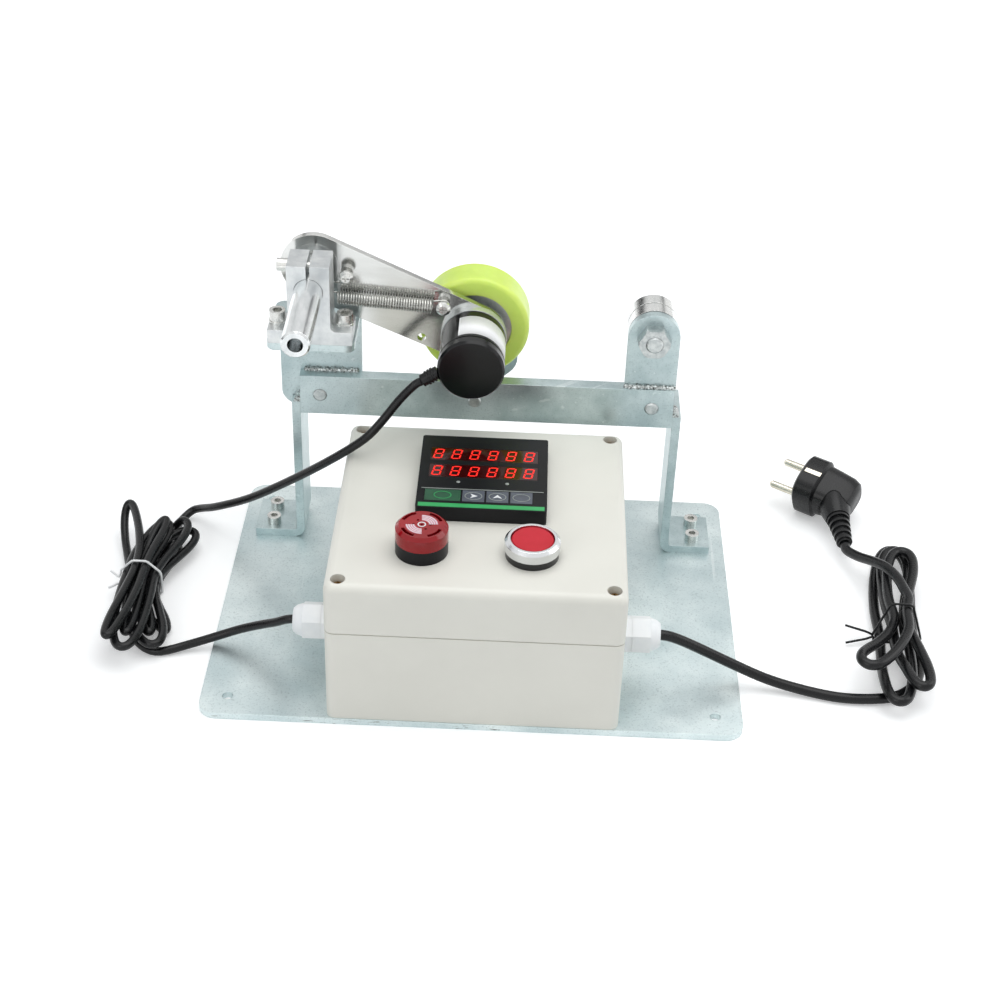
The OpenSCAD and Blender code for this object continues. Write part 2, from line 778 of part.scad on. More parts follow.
module clamp_block() {
    color([0.80, 0.81, 0.82])
    difference() {
        plate_y(shelf_y, block_d)
            difference() {
                union() {
                    translate([pivot_x - block_w / 2, shelf_top])
                        square([block_w, block_foot]);
                    translate([pivot_x - block_neck / 2, shelf_top])
                        square([block_neck, block_h]);
                    translate([pivot_x, shelf_top + block_foot])
                        difference() {
                            square([block_neck + 6, 6], center = true);
                            for (x = [-1, 1])
                                translate([x * (block_neck / 2 + 3), 3])
                                    circle(3);
                        }
                }
                translate([pivot_x, pivot_z])
                    circle(shaft_r + gap);
                translate([pivot_x - slit_w / 2, pivot_z + shaft_r - 2])
                    square([slit_w, block_h]);
            }
        for (x = [-1, 1])
            translate([pivot_x + x * foot_pitch / 2, shelf_y + block_d / 2, shelf_top - 1])
                cylinder(h = block_foot + 2, r = block_screw_r + 0.3);
        translate([pivot_x - block_neck / 2 - 1, clamp_y, clamp_z])
            rotate([0, 90, 0])
                cylinder(h = block_neck - 2, r = clamp_r + gap);
        rod_y(anchor[0], anchor[1], block_back - 10, 11, 2 + gap);
    }
}
clamp_r = 2;
clamp_z = pivot_z + shaft_r + clamp_r + 1.2;
clamp_y = shelf_y + block_d / 2;

module block_screws() {
    color([0.75, 0.76, 0.78])
    {
        for (x = [-1, 1])
            translate([pivot_x + x * foot_pitch / 2, shelf_y + block_d / 2, shelf_top + block_foot]) {
                difference() {
                    cylinder(h = 1.4, r = 5);
                    translate([0, 0, -1])
                        cylinder(h = 4, r = block_screw_r + gap);
                }
                translate([0, 0, 1.4])
                    socket_screw(block_screw_r, 4.6, 6, block_foot + shelf_t + 3, 2.9);
            }
        translate([pivot_x - block_neck / 2, clamp_y, clamp_z])
            rotate([0, -90, 0]) {
                difference() {
                    cylinder(h = 1.2, r = 3.6);
                    translate([0, 0, -1])
                        cylinder(h = 4, r = clamp_r + gap);
                }
                translate([0, 0, 1.2])
                    socket_screw(clamp_r, 3.6, 5, block_neck - 3, 2);
            }
        rod_y(anchor[0], anchor[1], block_back - 9, spring_y - block_back + 11.4, 2);
        rod_y(anchor[0], anchor[1], spring_y + 2.4, 1.6, 3.6);
    }
}

shoulder_y = arm_y - 0.3;
module pivot_shaft() {
    color([0.82, 0.83, 0.84])
    difference() {
        union() {
            difference() {
                rod_y(pivot_x, pivot_z, shelf_y - shaft_out + 1, shoulder_y - shelf_y + shaft_out - 1, shaft_r);
                rod_y(pivot_x, pivot_z, shelf_y - shaft_out - 1, shaft_hole_l + 1, shaft_hole_r);
            }
            difference() {
                translate([pivot_x, shelf_y - shaft_out + 1, pivot_z])
                    rotate([90, 0, 0])
                        cylinder(h = 1, r1 = shaft_r, r2 = shaft_r - 1);
                rod_y(pivot_x, pivot_z, shelf_y - shaft_out - 1, shaft_hole_l + 1, shaft_hole_r);
            }
            rod_y(pivot_x, pivot_z, shoulder_y, arm_y + bearing_w - shoulder_y, bearing_bore);
        }
        rod_y(pivot_x, pivot_z, arm_y + bearing_w - 15, 16, 3.1);
    }
}
bearing_bore = 6;
race_r = 9;

module shaft_retainer() {
    color([0.75, 0.76, 0.78])
    {
        ring_y(pivot_x, pivot_z, arm_y + bearing_w, 1.6, race_r - 0.5, 3.1);
        ring_y(pivot_x, pivot_z, arm_y, bearing_w, race_r, bearing_bore + run);
        translate([pivot_x, arm_y + bearing_w + 1.6, pivot_z])
            rotate([-90, 0, 0])
                pan_screw(3, 5.6, 3.8, 15);
    }
}

// ---------- arm ----------

// The four points where straight lines touch two circles
function tangents(c1, r1, c2, r2) = let (
    d = norm(c2 - c1),
    t = (c2 - c1) / d,
    n = [-t[1], t[0]],
    k = (r1 - r2) / d,
    h = sqrt(1 - k * k))
    [c1 + r1 * (k * t + h * n), c2 + r2 * (k * t + h * n),
        c2 + r2 * (k * t - h * n), c1 + r1 * (k * t - h * n)];

module arm_plate() {
    color([0.83, 0.84, 0.85])
    difference() {
        union() {
            rod_y(pivot_x, pivot_z, arm_y, arm_t, arm_r1);
            rod_y(wheel_x, wheel_z, arm_y, arm_t, arm_r2);
            plate_y(arm_y, arm_t)
                polygon(tangents([pivot_x, pivot_z], arm_r1, [wheel_x, wheel_z], arm_r2));
        }
        rod_y(pivot_x, pivot_z, arm_y - 1, arm_t + 2, bearing_r + run);
        rod_y(wheel_x, wheel_z, arm_y - 1, arm_t + 2, pilot_r + gap);
        for (p = [spring_pin, stop_pin])
            rod_y(p[0], p[1], arm_y - 1, arm_t + 2, 2 + gap);
        rod_y(light_hole[0], light_hole[1], arm_y - 1, arm_t + 2, 2.5);
    }
}
pilot_r = 10;

module arm_bearing() {
    color([0.70, 0.71, 0.72])
    {
        ring_y(pivot_x, pivot_z, arm_y, bearing_w, bearing_r, bearing_r - 2.6);
        ring_y(pivot_x, pivot_z, arm_y + 0.4, bearing_w - 0.8, bearing_r - 2.5, race_r + run);
    }
}

module arm_screws() {
    color([0.75, 0.76, 0.78])
    for (p = [[spring_pin, 9.4], [stop_pin, 7]]) {
        translate([p[0][0], arm_y - p[1], p[0][1]])
            rotate([90, 0, 0])
                pan_screw(2, 4.1, 3, p[1] + arm_t);
        ring_y(p[0][0], p[0][1], arm_y - 2, 2, 3.6, 2 + gap);
        ring_y(p[0][0], p[0][1], arm_y + arm_t, 1.6, 3.4, 2 + gap);
    }
}

cap_y = arm_y - flange_t - encoder_l - cap_l;

module encoder_flange() {
    color([0.80, 0.81, 0.82])
    difference() {
        union() {
            rod_y(wheel_x, wheel_z, arm_y - flange_t, flange_t, encoder_r);
            rod_y(wheel_x, wheel_z, arm_y, arm_t - 0.5, pilot_r);
        }
        rod_y(wheel_x, wheel_z, arm_y - flange_t - 1, flange_t + arm_t + 2, spindle_r + run);
    }
}

module encoder_body() {
    color([0.92, 0.92, 0.90])
    difference() {
        rod_y(wheel_x, wheel_z, cap_y + cap_l, encoder_l, encoder_r - 0.4);
        rod_y(wheel_x, wheel_z, cap_y + cap_l + encoder_l - 12, 13, 5);
    }
}

module encoder_cap() {
    color([0.06, 0.06, 0.07])
    {
        translate([wheel_x, cap_y + 1.5, wheel_z])
            rotate([90, 0, 0])
                cylinder(h = 1.5, r1 = encoder_r, r2 = encoder_r - 1.2);
        difference() {
            rod_y(wheel_x, wheel_z, cap_y + 1.5, cap_l - 1.5, encoder_r);
            rod_y(wheel_x, wheel_z, cap_y + cap_l - 2, 1.2, encoder_r * 2);
        }
        rod_y(wheel_x, wheel_z, cap_y + 1.5, cap_l - 1.5, encoder_r - 0.7);
    }
}

// The strain relief on the encoder's left side
boot_start = [wheel_x - encoder_r + 0.6, cap_y + 4.2, wheel_z - 3.6];
boot_end = sensor_points[0] - 0.3 * unit(sensor_points[1] - sensor_points[0]);
module encoder_boot() {
    way = unit(boot_end - boot_start);
    turn = acos(way[2]);
    spin = atan2(way[1], way[0]);
    color([0.08, 0.08, 0.09])
    difference() {
        translate(boot_start)
            rotate([0, turn, spin]) {
                cylinder(h = norm(boot_end - boot_start), r = thin_d / 2 + 1.2);
                for (k = [0 : 2])
                    translate([0, 0, 2.6 + k * 1.8])
                        cylinder(h = 1, r = thin_d / 2 + 1.8);
            }
        rod_y(wheel_x, wheel_z, cap_y - 5, cap_l + 20, encoder_r + 0.02);
    }
}

// ---------- measuring wheel ----------

module wheel_hub() {
    color([0.60, 0.62, 0.64])
    difference() {
        union() {
            rod_y(wheel_x, wheel_z, wheel_y + 2, wheel_w - 4, hub_r);
            rod_y(wheel_x, wheel_z, wheel_y - 2.5, 6, 11);
        }
        rod_y(wheel_x, wheel_z, wheel_y - 4, wheel_w + 4, spindle_r + gap);
        rod_y(wheel_x, wheel_z, wheel_y + wheel_w - 8, 8, 14);
        translate([wheel_x, wheel_y - 0.3, wheel_z])
            cylinder(h = 12, r = 1.6);
    }
}

module wheel_tyre() {
    edge = 3;
    flat_r = wheel_r - edge;
    color([0.72, 0.93, 0.10])
    difference() {
        union() {
            rod_y(wheel_x, wheel_z, wheel_y, wheel_w, flat_r);
            rod_y(wheel_x, wheel_z, wheel_y + edge, wheel_w - 2 * edge, wheel_r);
            for (y = [wheel_y + edge, wheel_y + wheel_w - edge])
                translate([wheel_x, y, wheel_z])
                    rotate([90, 0, 0])
                        rotate_extrude()
                            translate([flat_r, 0])
                                circle(edge);
        }
        rod_y(wheel_x, wheel_z, wheel_y - 1, wheel_w + 2, hub_r + 0.02);
    }
}

module encoder_shaft() {
    color([0.82, 0.83, 0.84])
    {
        rod_y(wheel_x, wheel_z, arm_y - flange_t - 10, flange_t + 10 + wheel_y - arm_y + 13, spindle_r);
        translate([wheel_x, wheel_y - 0.3, wheel_z + spindle_r + 0.02])
            cylinder(h = 8, r = 1.5);
    }
}

// ---------- spring ----------

// The wire: hook round the anchor, coils, hook round the arm's screw
spring_a = [pivot_x + 13.5, pivot_z - 16.1];
spring_b = [spring_pin[0] - 6.2, spring_pin[1] - 1.2];
coil_r = spring_r - wire_d / 2;
hook_r = 2 + wire_d / 2 + 0.3;
spring_route = let (
    along = unit(spring_b - spring_a),
    nor = [-along[1], along[0]],
    l = norm(spring_b - spring_a),
    left = [for (k = [0 : 8]) let (a = 270 - 180 * k / 8)
        anchor + hook_r * [cos(a), sin(a)]],
    right = [for (k = [0 : 8]) let (a = 90 - 180 * k / 8)
        spring_pin + hook_r * [cos(a), sin(a)]],
    turns = coils,
    n = turns * 8,
    start = spring_a + coil_r * nor,
    stop = spring_b + coil_r * nor)
    concat(
        [[left[0][0] + 2 * wire_d, spring_y, left[0][1]], [left[0][0] + wire_d, spring_y, left[0][1]]],
        [for (p = left) [p[0], spring_y, p[1]]],
        [for (u = [0.45, 0.8]) let (p = left[8] + (start - left[8]) * u) [p[0], spring_y, p[1]]],
        [for (i = [0 : n]) let (
            a = 360 * i / 8,
            step = i < 3 ? [0, 0.25, 0.65][i] : i > n - 3 ? n - 1 + [0.35, 0.75, 1][i - n + 2] : i,
            p = spring_a + along * l * step / n + coil_r * cos(a) * nor)
            [p[0], spring_y - coil_r * sin(a), p[1]]],
        [for (u = [0.2, 0.55]) let (p = stop + (right[0] - stop) * u) [p[0], spring_y, p[1]]],
        [for (p = right) [p[0], spring_y, p[1]]],
        [[right[8][0] - wire_d, spring_y, right[8][1]], [right[8][0] - 2 * wire_d, spring_y, right[8][1]]]);

module tension_spring() {
    color([0.70, 0.70, 0.68])
    tube(spring_route, wire_d / 2, 6);
}

// ---------- control box ----------

// A box shell's outer block: rounded upright edges, and a rounded top if round is set
module shell_block(z, h, round) {
    if (round > 0) {
        translate([box_x, box_y, z])
            linear_extrude(height = h - corner_r)
                round_square(box_w, box_w, corner_r);
        translate([box_x, box_y, z])
            linear_extrude(height = h)
                square(box_w - 2 * corner_r, center = true);
        for (x = [-1, 1], y = [-1, 1])
            translate([box_x + x * (box_w / 2 - corner_r), box_y + y * (box_w / 2 - corner_r), z + h - corner_r])
                sphere(corner_r);
        for (a = [0, 90], m = [-1, 1])
            translate([box_x, box_y, z + h - corner_r])
                rotate([0, 0, a])
                    translate([m * (box_w / 2 - corner_r), -box_w / 2 + corner_r, 0])
                        rotate([-90, 0, 0])
                            cylinder(h = box_w - 2 * corner_r, r = corner_r);
    } else {
        translate([box_x, box_y, z])
            linear_extrude(height = h)
                round_square(box_w, box_w, corner_r);
    }
}

module at_screws() {
    for (x = [-1, 1], y = [-1, 1])
        translate([box_x + x * (box_w / 2 - screw_in), box_y + y * (box_w / 2 - screw_in), 0])
            children();
}

post_r = 6;
screw_r = 2;
seam = 0.6;
module enclosure_base() {
    color([0.86, 0.84, 0.76])
    difference() {
        shell_block(plate_t, base_h, 0);
        difference() {
            translate([box_x, box_y, plate_t + wall])
                linear_extrude(height = base_h)
                    round_square(box_w - 2 * wall, box_w - 2 * wall, corner_r - wall);
            at_screws()
                cylinder(h = box_top, r = post_r);
        }
        at_screws()
            translate([0, 0, split_z - 22])
                cylinder(h = 30, r = screw_r + gap);
        for (m = [-1, 1])
            translate([box_x + m * box_w / 2, gland_y, gland_h])
                rotate([0, 90, 0])
                    cylinder(h = 4 * wall, r = gland_neck_r + gap, center = true);
    }
}

module enclosure_lid() {
    color([0.86, 0.84, 0.76])
    difference() {
        shell_block(split_z, lid_h, 1);
        difference() {
            translate([box_x, box_y, split_z - 1])
                linear_extrude(height = lid_h + 1 - wall)
                    round_square(box_w - 2 * wall, box_w - 2 * wall, corner_r - wall);
            at_screws()
                cylinder(h = box_top, r = post_r);
        }
        at_screws() {
            translate([0, 0, split_z - 1])
                cylinder(h = lid_h + 2, r = screw_r + gap);
            translate([0, 0, box_top - well_d])
                cylinder(h = well_d + 1, r = well_r);
        }
        difference() {
            translate([box_x, box_y, split_z - 1])
                linear_extrude(height = 1 + seam)
                    square(box_w + 2, center = true);
            translate([box_x, box_y, split_z - 2])
                linear_extrude(height = 4)
                    round_square(box_w - 2 * seam, box_w - 2 * seam, corner_r - seam);
        }
        translate([meter_x, meter_y, box_top - wall / 2])
            cube([case_w + 0.6, case_w + 0.6, 4 * wall], center = true);
        for (x = [buzzer_x, button_x])
            translate([x, panel_y, box_top - 2 * wall])
                cylinder(h = 4 * wall, r = neck_r + 0.15);
    }
}

module lid_screws() {
    color([0.45, 0.32, 0.20])
    at_screws()
        translate([0, 0, box_top - well_d])
            pan_screw(screw_r, well_r - 0.4, 2.6, lid_h - well_d + 18);
}

// ---------- panel meter ----------

bezel_top = box_top + bezel_h;
window_w = 61;
window_d = 12.8;
window_ys = [meter_y + 17.4, meter_y + 0.4];
key_y = meter_y - 23.9;

// Middle and width of each key: the first one is the wide one
key_row = [[-21.6, key_w + 7.6], [-4.6, key_w], [8.6, key_w], [21.8, key_w]];

module meter_case() {
    color([0.07, 0.07, 0.08])
    difference() {
        translate([meter_x - case_w / 2, meter_y - case_w / 2, box_top - case_l])
            cube([case_w, case_w, case_l]);
        translate([meter_x - case_w / 2 + 2, meter_y - case_w / 2 + 2, box_top - case_l + 2])
            cube([case_w - 4, case_w - 4, case_l]);
    }
}

module meter_front() {
    color([0.05, 0.05, 0.06])
    difference() {
        union() {
            translate([meter_x, meter_y, box_top])
                linear_extrude(height = bezel_h)
                    round_square(meter_w, meter_w, 1.5);
        }
        for (y = window_ys)
            translate([meter_x - window_w / 2, y - window_d / 2, bezel_top - 1.2])
                cube([window_w, window_d, 3]);
        for (k = key_row)
            translate([meter_x + k[0] - k[1] / 2 - 0.2, key_y - key_d / 2 - 0.2, bezel_top - 3])
                cube([k[1] + 0.4, key_d + 0.4, 4]);
    }
}

module meter_windows() {
    color([0.25, 0.02, 0.02])
    for (y = window_ys)
        translate([meter_x - window_w / 2 + 0.1, y - window_d / 2 + 0.1, bezel_top - 1.2])
            cube([window_w - 0.2, window_d - 0.2, 1.1]);
}

module meter_key(k) {
    translate([meter_x + key_row[k][0] - key_row[k][1] / 2, key_y - key_d / 2, bezel_top - 2.3])
        cube([key_row[k][1], key_d, 2.4]);
}
module key_green() {
    color([0.10, 0.45, 0.20])
    meter_key(0);
}
module key_right() {
    color([0.45, 0.47, 0.50])
    meter_key(1);
}
module key_up() {
    color([0.45, 0.47, 0.50])
    meter_key(2);
}
module key_last() {
    color([0.45, 0.47, 0.50])
    meter_key(3);
}

// ---------- buzzer and button ----------

module buzzer_base() {
    color([0.06, 0.06, 0.07])
    difference() {
        union() {
            translate([buzzer_x, panel_y, box_top])
                cylinder(h = buzzer_foot, r = buzzer_r);
            translate([buzzer_x, panel_y, box_top - 22])
                cylinder(h = 22, r = neck_r);
        }
        translate([buzzer_x, panel_y, box_top + 2])
            cylinder(h = buzzer_foot, r = buzzer_r - 2);
    }
}

module buzzer_lens() {
    lens_top = box_top + buzzer_foot + buzzer_lens_h;
    color([0.75, 0.04, 0.06, 0.85])
    difference() {
        union() {
            translate([buzzer_x, panel_y, box_top + buzzer_foot])
                cylinder(h = buzzer_lens_h - 2, r = buzzer_r);
            translate([buzzer_x, panel_y, lens_top - 2])
                cylinder(h = 2, r1 = buzzer_r, r2 = buzzer_r - 2);
        }
        translate([buzzer_x, panel_y, box_top + buzzer_foot - 1])
            cylinder(h = buzzer_lens_h - 1.5, r = buzzer_r - 2);
        for (a = [45 : 90 : 315])
            translate([buzzer_x, panel_y, lens_top - 3])
                intersection() {
                    difference() {
                        cylinder(h = 4, r = 11.6);
                        translate([0, 0, -1])
                            cylinder(h = 6, r = 9.8);
                    }
                    rotate([0, 0, a - 25])
                        cube([20, 20, 5]);
                    rotate([0, 0, a - 65])
                        cube([20, 20, 5]);
                }
        for (a = [0 : 60 : 300])
            translate([buzzer_x + 4.5 * cos(a), panel_y + 4.5 * sin(a), lens_top - 3])
                cylinder(h = 4, r = 0.7);
        translate([buzzer_x, panel_y, lens_top - 3])
            cylinder(h = 4, r = 0.7);
    }
}

ring_h = 11;
ring_foot = 4.5;
ring_bevel = 1.6;
cap_h = 6;
module button_ring() {
    color([0.80, 0.81, 0.82])
    difference() {
        union() {
            translate([button_x, panel_y, box_top])
                cylinder(h = ring_foot, r = button_r - 0.6);
            translate([button_x, panel_y, box_top + ring_foot])
                cylinder(h = ring_h - ring_foot - ring_bevel, r = button_r);
            translate([button_x, panel_y, box_top + ring_h - ring_bevel])
                cylinder(h = ring_bevel, r1 = button_r, r2 = button_r - ring_bevel);
            translate([button_x, panel_y, box_top - 22])
                cylinder(h = 22, r = neck_r);
        }
        translate([button_x, panel_y, box_top + 1.5])
            cylinder(h = 20, r = cap_r + 0.3);
        translate([button_x, panel_y, box_top - 30])
            cylinder(h = 40, r = 5 + gap);
    }
}

module button_cap() {
    cap_z = box_top + ring_h - cap_h - 0.4;
    color([0.80, 0.04, 0.05])
    {
        translate([button_x, panel_y, cap_z])
            cylinder(h = cap_h - 1, r = cap_r);
        translate([button_x, panel_y, cap_z + cap_h - 1])
            cylinder(h = 1, r1 = cap_r, r2 = cap_r - 0.8);
        translate([button_x, panel_y, box_top - 16])
            cylinder(h = cap_z - box_top + 16, r = 5);
    }
}

module panel_nuts() {
    color([0.12, 0.12, 0.13])
    for (x = [buzzer_x, button_x])
        translate([x, panel_y, box_top - wall - 4])
            difference() {
                cylinder(h = 4, r = 14);
                translate([0, 0, -1])
                    cylinder(h = 6, r = neck_r + gap);
            }
}

// ---------- cable glands ----------

// The bore of each gland follows its own cord
module at_glands() {
    for (m = [-1, 1])
        translate([box_x + m * box_w / 2, gland_y, gland_h])
            rotate([0, m * 90, 0])
                let ($cord_r = (m < 0 ? thin_d : thick_d) / 2)
                    children();
}

module gland_bodies() {
    color([0.93, 0.93, 0.92])
    at_glands()
        difference() {
            union() {
                linear_extrude(height = 6)
                    hex(gland_af);
                cylinder(h = 2, r = gland_af / 2 + 1.6);
                translate([0, 0, -wall - 6])
                    cylinder(h = wall + 6, r = gland_neck_r);
            }
            translate([0, 0, -20])
                cylinder(h = 40, r = $cord_r + 0.3);
        }
}

module gland_caps() {
    color([0.93, 0.93, 0.92])
    at_glands()
        difference() {
            union() {
                translate([0, 0, 6])
                    linear_extrude(height = 10.5)
                        hex(gland_af);
                translate([0, 0, 16.5])
                    cylinder(h = 3.5, r1 = gland_af / 2, r2 = gland_af / 2 - 1.2);
                translate([0, 0, 20])
                    cylinder(h = 2, r1 = gland_af / 2 - 1.2, r2 = gland_af / 2 - 2.8);
            }
            translate([0, 0, -20])
                cylinder(h = 60, r = $cord_r + 0.3);
        }
}

// ---------- cords ----------

module sensor_cord() {
    color([0.07, 0.07, 0.08])
    tube(smooth(sensor_points, 3), thin_r, 8);
}
module sensor_hank() {
    color([0.07, 0.07, 0.08])
    tube(sensor_hank_route, thin_r, 6);
}
module sensor_tail() {
    color([0.07, 0.07, 0.08])
    tube(smooth(sensor_tail_points, 2), thin_r, 8);
}
module power_cord() {
    color([0.07, 0.07, 0.08])
    tube(smooth(power_points, 2), thick_r, 8);
}
module power_hank() {
    color([0.07, 0.07, 0.08])
    tube(power_hank_route, thick_r, 6);
}
module plug_lead() {
    color([0.07, 0.07, 0.08])
    tube(smooth(lead_points, 2), thick_r, 8);
}

// A wire tied once round a hank at its waist, its two ends side by side.
// Each corner is a side place, a height and the angles between which the
// wire lies on it.
function tie_route(waist, corners, r, off, tail) = let (
    on = [for (c = corners) each [for (k = [0 : 3])
        let (a = c[2] + (c[3] - c[2]) * k / 3)
        [waist[0] + c[0] + off * cos(a), c[1] + off * sin(a)]]],
    n = len(on) - 1,
    mid = (on[0][1] + on[n][1]) / 2)
    concat(
        [for (u = [1, 0.6, 0.25]) [on[0][0] - tail * u, waist[1] + 1.4 * r + 3 * u, mid + r + 3 * u]],
        [for (i = [0 : n]) [on[i][0], waist[1] + 1.4 * r * (1 - 2 * i / n), on[i][1]]],
        [for (u = [0.25, 0.6, 1]) [on[n][0] - tail * u, waist[1] - 1.4 * r - 4 * u, mid - r - 1.5 * u]]);

module sensor_tie() {
    p = sensor_step;
    z = sensor_low;
    color([0.93, 0.93, 0.92])
    tube(tie_route(sensor_waist, [[-1.5 * p, z + 2 * p, 180, 135], [-0.5 * p, z + 3 * p, 135, 90],
        [0.5 * p, z + 3 * p, 90, 45], [1.5 * p, z + 2 * p, 45, 0], [1.5 * p, z, 0, -90],
        [-1.5 * p, z, -90, -180]], 0.7, thin_r + 1.1, 7), 0.7, 6);
}
module power_tie() {
    p = power_step;
    z = power_low;
    color([0.05, 0.05, 0.05])
    tube(tie_route(power_waist, [[-1.5 * p, z, 180, 161.6], [-0.5 * p, z + 3 * p, 161.6, 90],
        [0.5 * p, z + 3 * p, 90, 18.4], [1.5 * p, z, 18.4, -90], [-1.5 * p, z, -90, -180]],
        0.7, thick_r + 1, 16), 0.7, 6);
}

// ---------- plug ----------

// Middle of the plug's face, the way the pins point, and the way from pin to pin
face = [204.5, 119, plug_r + 0.6];
pin_way = unit([-0.83, 0.555, 0]);
pin_row = unit([0.515, 0.772, 0.4]);
pin_pitch = 19;
elbow = face - 20 * pin_way + [0, 0, -1.2];
sleeve_end = lead_points[len(lead_points) - 1];
sleeve_way = unit(sleeve_end - elbow);

module towards(v) {
    rotate([0, acos(v[2]), atan2(v[1], v[0])])
        children();
}

module plug_body() {
    color([0.09, 0.09, 0.10])
    difference() {
        union() {
            translate(face)
                towards(-pin_way) {
                    cylinder(h = 22, r = plug_r);
                    translate([0, 0, 22])
                        cylinder(h = 12, r1 = plug_r, r2 = plug_r - 3);
                    translate([0, 0, 34])
                        cylinder(h = 3, r1 = plug_r - 3, r2 = plug_r - 6);
                }
            translate(elbow)
                towards(sleeve_way)
                    cylinder(h = 24, r1 = 11, r2 = 7.5);
        }
        for (s = [-1, 1])
            translate(face + s * pin_pitch / 2 * pin_row - 9 * pin_way)
                towards(pin_way)
                    cylinder(h = 20, r = 2.4 + gap);
    }
}

module plug_contacts() {
    color([0.78, 0.76, 0.68])
    for (s = [-1, 1])
        translate(face + s * pin_pitch / 2 * pin_row - 9 * pin_way)
            towards(pin_way) {
                cylinder(h = 9 + pin_l - 1.4, r = 2.4);
                translate([0, 0, 9 + pin_l - 1.4])
                    cylinder(h = 1.4, r1 = 2.4, r2 = 1.2);
            }
}

module plug_sleeve() {
    l = norm(sleeve_end - elbow);
    color([0.08, 0.08, 0.09])
    translate(elbow)
        towards(sleeve_way) {
            translate([0, 0, 24])
                cylinder(h = l - 24.3, r1 = 5.6, r2 = thick_r + 1);
            for (k = [0 : 4])
                translate([0, 0, 24 + k * (l - 28) / 4])
                    cylinder(h = 2, r = 7 - k * 0.5);
        }
}

// ---------- what is drawn ----------

base_plate();
uprights();
crossbar();
weld_beads();
foot_screws();
side_plate();
shelf_plate();
clamp_block();
block_screws();
pivot_shaft();
shaft_retainer();
right_lug();
lug_bolt();
inner_rings();
upper_roller();
roller_bolts();
roller_washers();
left_roller();
centre_roller();
right_roller();
keeper_plate();
arm_plate();
arm_bearing();
arm_screws();
encoder_flange();
encoder_body();
encoder_cap();
encoder_boot();
wheel_hub();
wheel_tyre();
encoder_shaft();
tension_spring();
enclosure_base();
enclosure_lid();
lid_screws();
meter_case();
meter_front();
meter_windows();
key_green();
key_right();
key_up();
key_last();
buzzer_base();
buzzer_lens();
button_ring();
button_cap();
panel_nuts();
gland_bodies();
gland_caps();
sensor_cord();
sensor_hank();
sensor_tail();
sensor_tie();
power_cord();
power_hank();
plug_lead();
power_tie();
plug_body();
plug_contacts();
plug_sleeve();
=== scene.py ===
import bpy
import math
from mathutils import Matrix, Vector


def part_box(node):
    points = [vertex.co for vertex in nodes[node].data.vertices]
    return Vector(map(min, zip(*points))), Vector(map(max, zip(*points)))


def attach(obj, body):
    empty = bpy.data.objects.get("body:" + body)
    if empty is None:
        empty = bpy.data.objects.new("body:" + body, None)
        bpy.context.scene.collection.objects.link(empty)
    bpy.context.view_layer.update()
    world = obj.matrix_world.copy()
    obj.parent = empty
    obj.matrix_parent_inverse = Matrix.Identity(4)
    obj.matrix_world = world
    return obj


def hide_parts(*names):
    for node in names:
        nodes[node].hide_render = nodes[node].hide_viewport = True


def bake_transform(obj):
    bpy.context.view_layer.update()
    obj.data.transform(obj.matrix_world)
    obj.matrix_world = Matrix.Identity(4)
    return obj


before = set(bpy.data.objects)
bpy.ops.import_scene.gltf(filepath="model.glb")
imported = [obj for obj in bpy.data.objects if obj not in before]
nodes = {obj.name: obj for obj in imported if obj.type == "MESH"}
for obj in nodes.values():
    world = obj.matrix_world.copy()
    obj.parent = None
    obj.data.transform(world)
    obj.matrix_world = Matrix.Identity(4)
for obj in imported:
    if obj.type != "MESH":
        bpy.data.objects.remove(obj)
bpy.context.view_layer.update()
mm = 0.001

# lines and meshes are written in millimetres, and vec gives metres

def vec(p):
    return Vector(p) * mm


def smoothLine(points, steps):
    # a curve through every point, the way a bent cable runs
    out = []
    for i in range(len(points) - 1):
        b, c = Vector(points[i]), Vector(points[i + 1])
        a = Vector(points[i - 1]) if i > 0 else 2 * b - c
        d = Vector(points[i + 2]) if i < len(points) - 2 else 2 * c - b
        for k in range(steps):
            u = k / steps
            out.append(0.5 * (2 * b + (c - a) * u + (2 * a - 5 * b + 4 * c - d) * u * u
                              + (3 * b - a - 3 * c + d) * u ** 3))
    out.append(Vector(points[-1]))
    return out


def lineLength(points):
    return sum((points[i + 1] - points[i]).length for i in range(len(points) - 1))


def makePiece(name, verts, faces, material, body, smooth=True):
    mesh = bpy.data.meshes.new(name)
    mesh.from_pydata([tuple(v) for v in verts], [], faces)
    mesh.validate()
    mesh.update()
    mesh.polygons.foreach_set("use_smooth", [smooth] * len(mesh.polygons))
    piece = bpy.data.objects.new(name, mesh)
    bpy.context.scene.collection.objects.link(piece)
    if material:
        mesh.materials.append(material)
    if body:
        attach(piece, body)
    return piece


def tubeMesh(points, radius, sides, first=0, last=None):
    # rings along the whole line, kept from first to last, so that two tubes meet without a seam
    last = len(points) - 1 if last is None else last
    headings = []
    for i in range(len(points)):
        a, b = points[max(0, i - 1)], points[min(len(points) - 1, i + 1)]
        headings.append((b - a).normalized())
    up = Vector((0, 0, 1)) if abs(headings[0].z) < 0.8 else Vector((0, 1, 0))
    verts, faces = [], []
    for i, way in enumerate(headings):
        up = (up - up.dot(way) * way).normalized()
        if first <= i <= last:
            side = way.cross(up)
            r = radius(i / (len(points) - 1)) if callable(radius) else radius
            for k in range(sides):
                a = 2 * math.pi * k / sides
                verts.append(vec(points[i] + r * (math.cos(a) * up + math.sin(a) * side)))
    rings = last - first + 1
    for i in range(rings - 1):
        for k in range(sides):
            a, b = i * sides + k, i * sides + (k + 1) % sides
            faces.append((a, b, b + sides, a + sides))
    faces.append(tuple(range(sides))[::-1])
    faces.append(tuple((rings - 1) * sides + k for k in range(sides)))
    return verts, faces


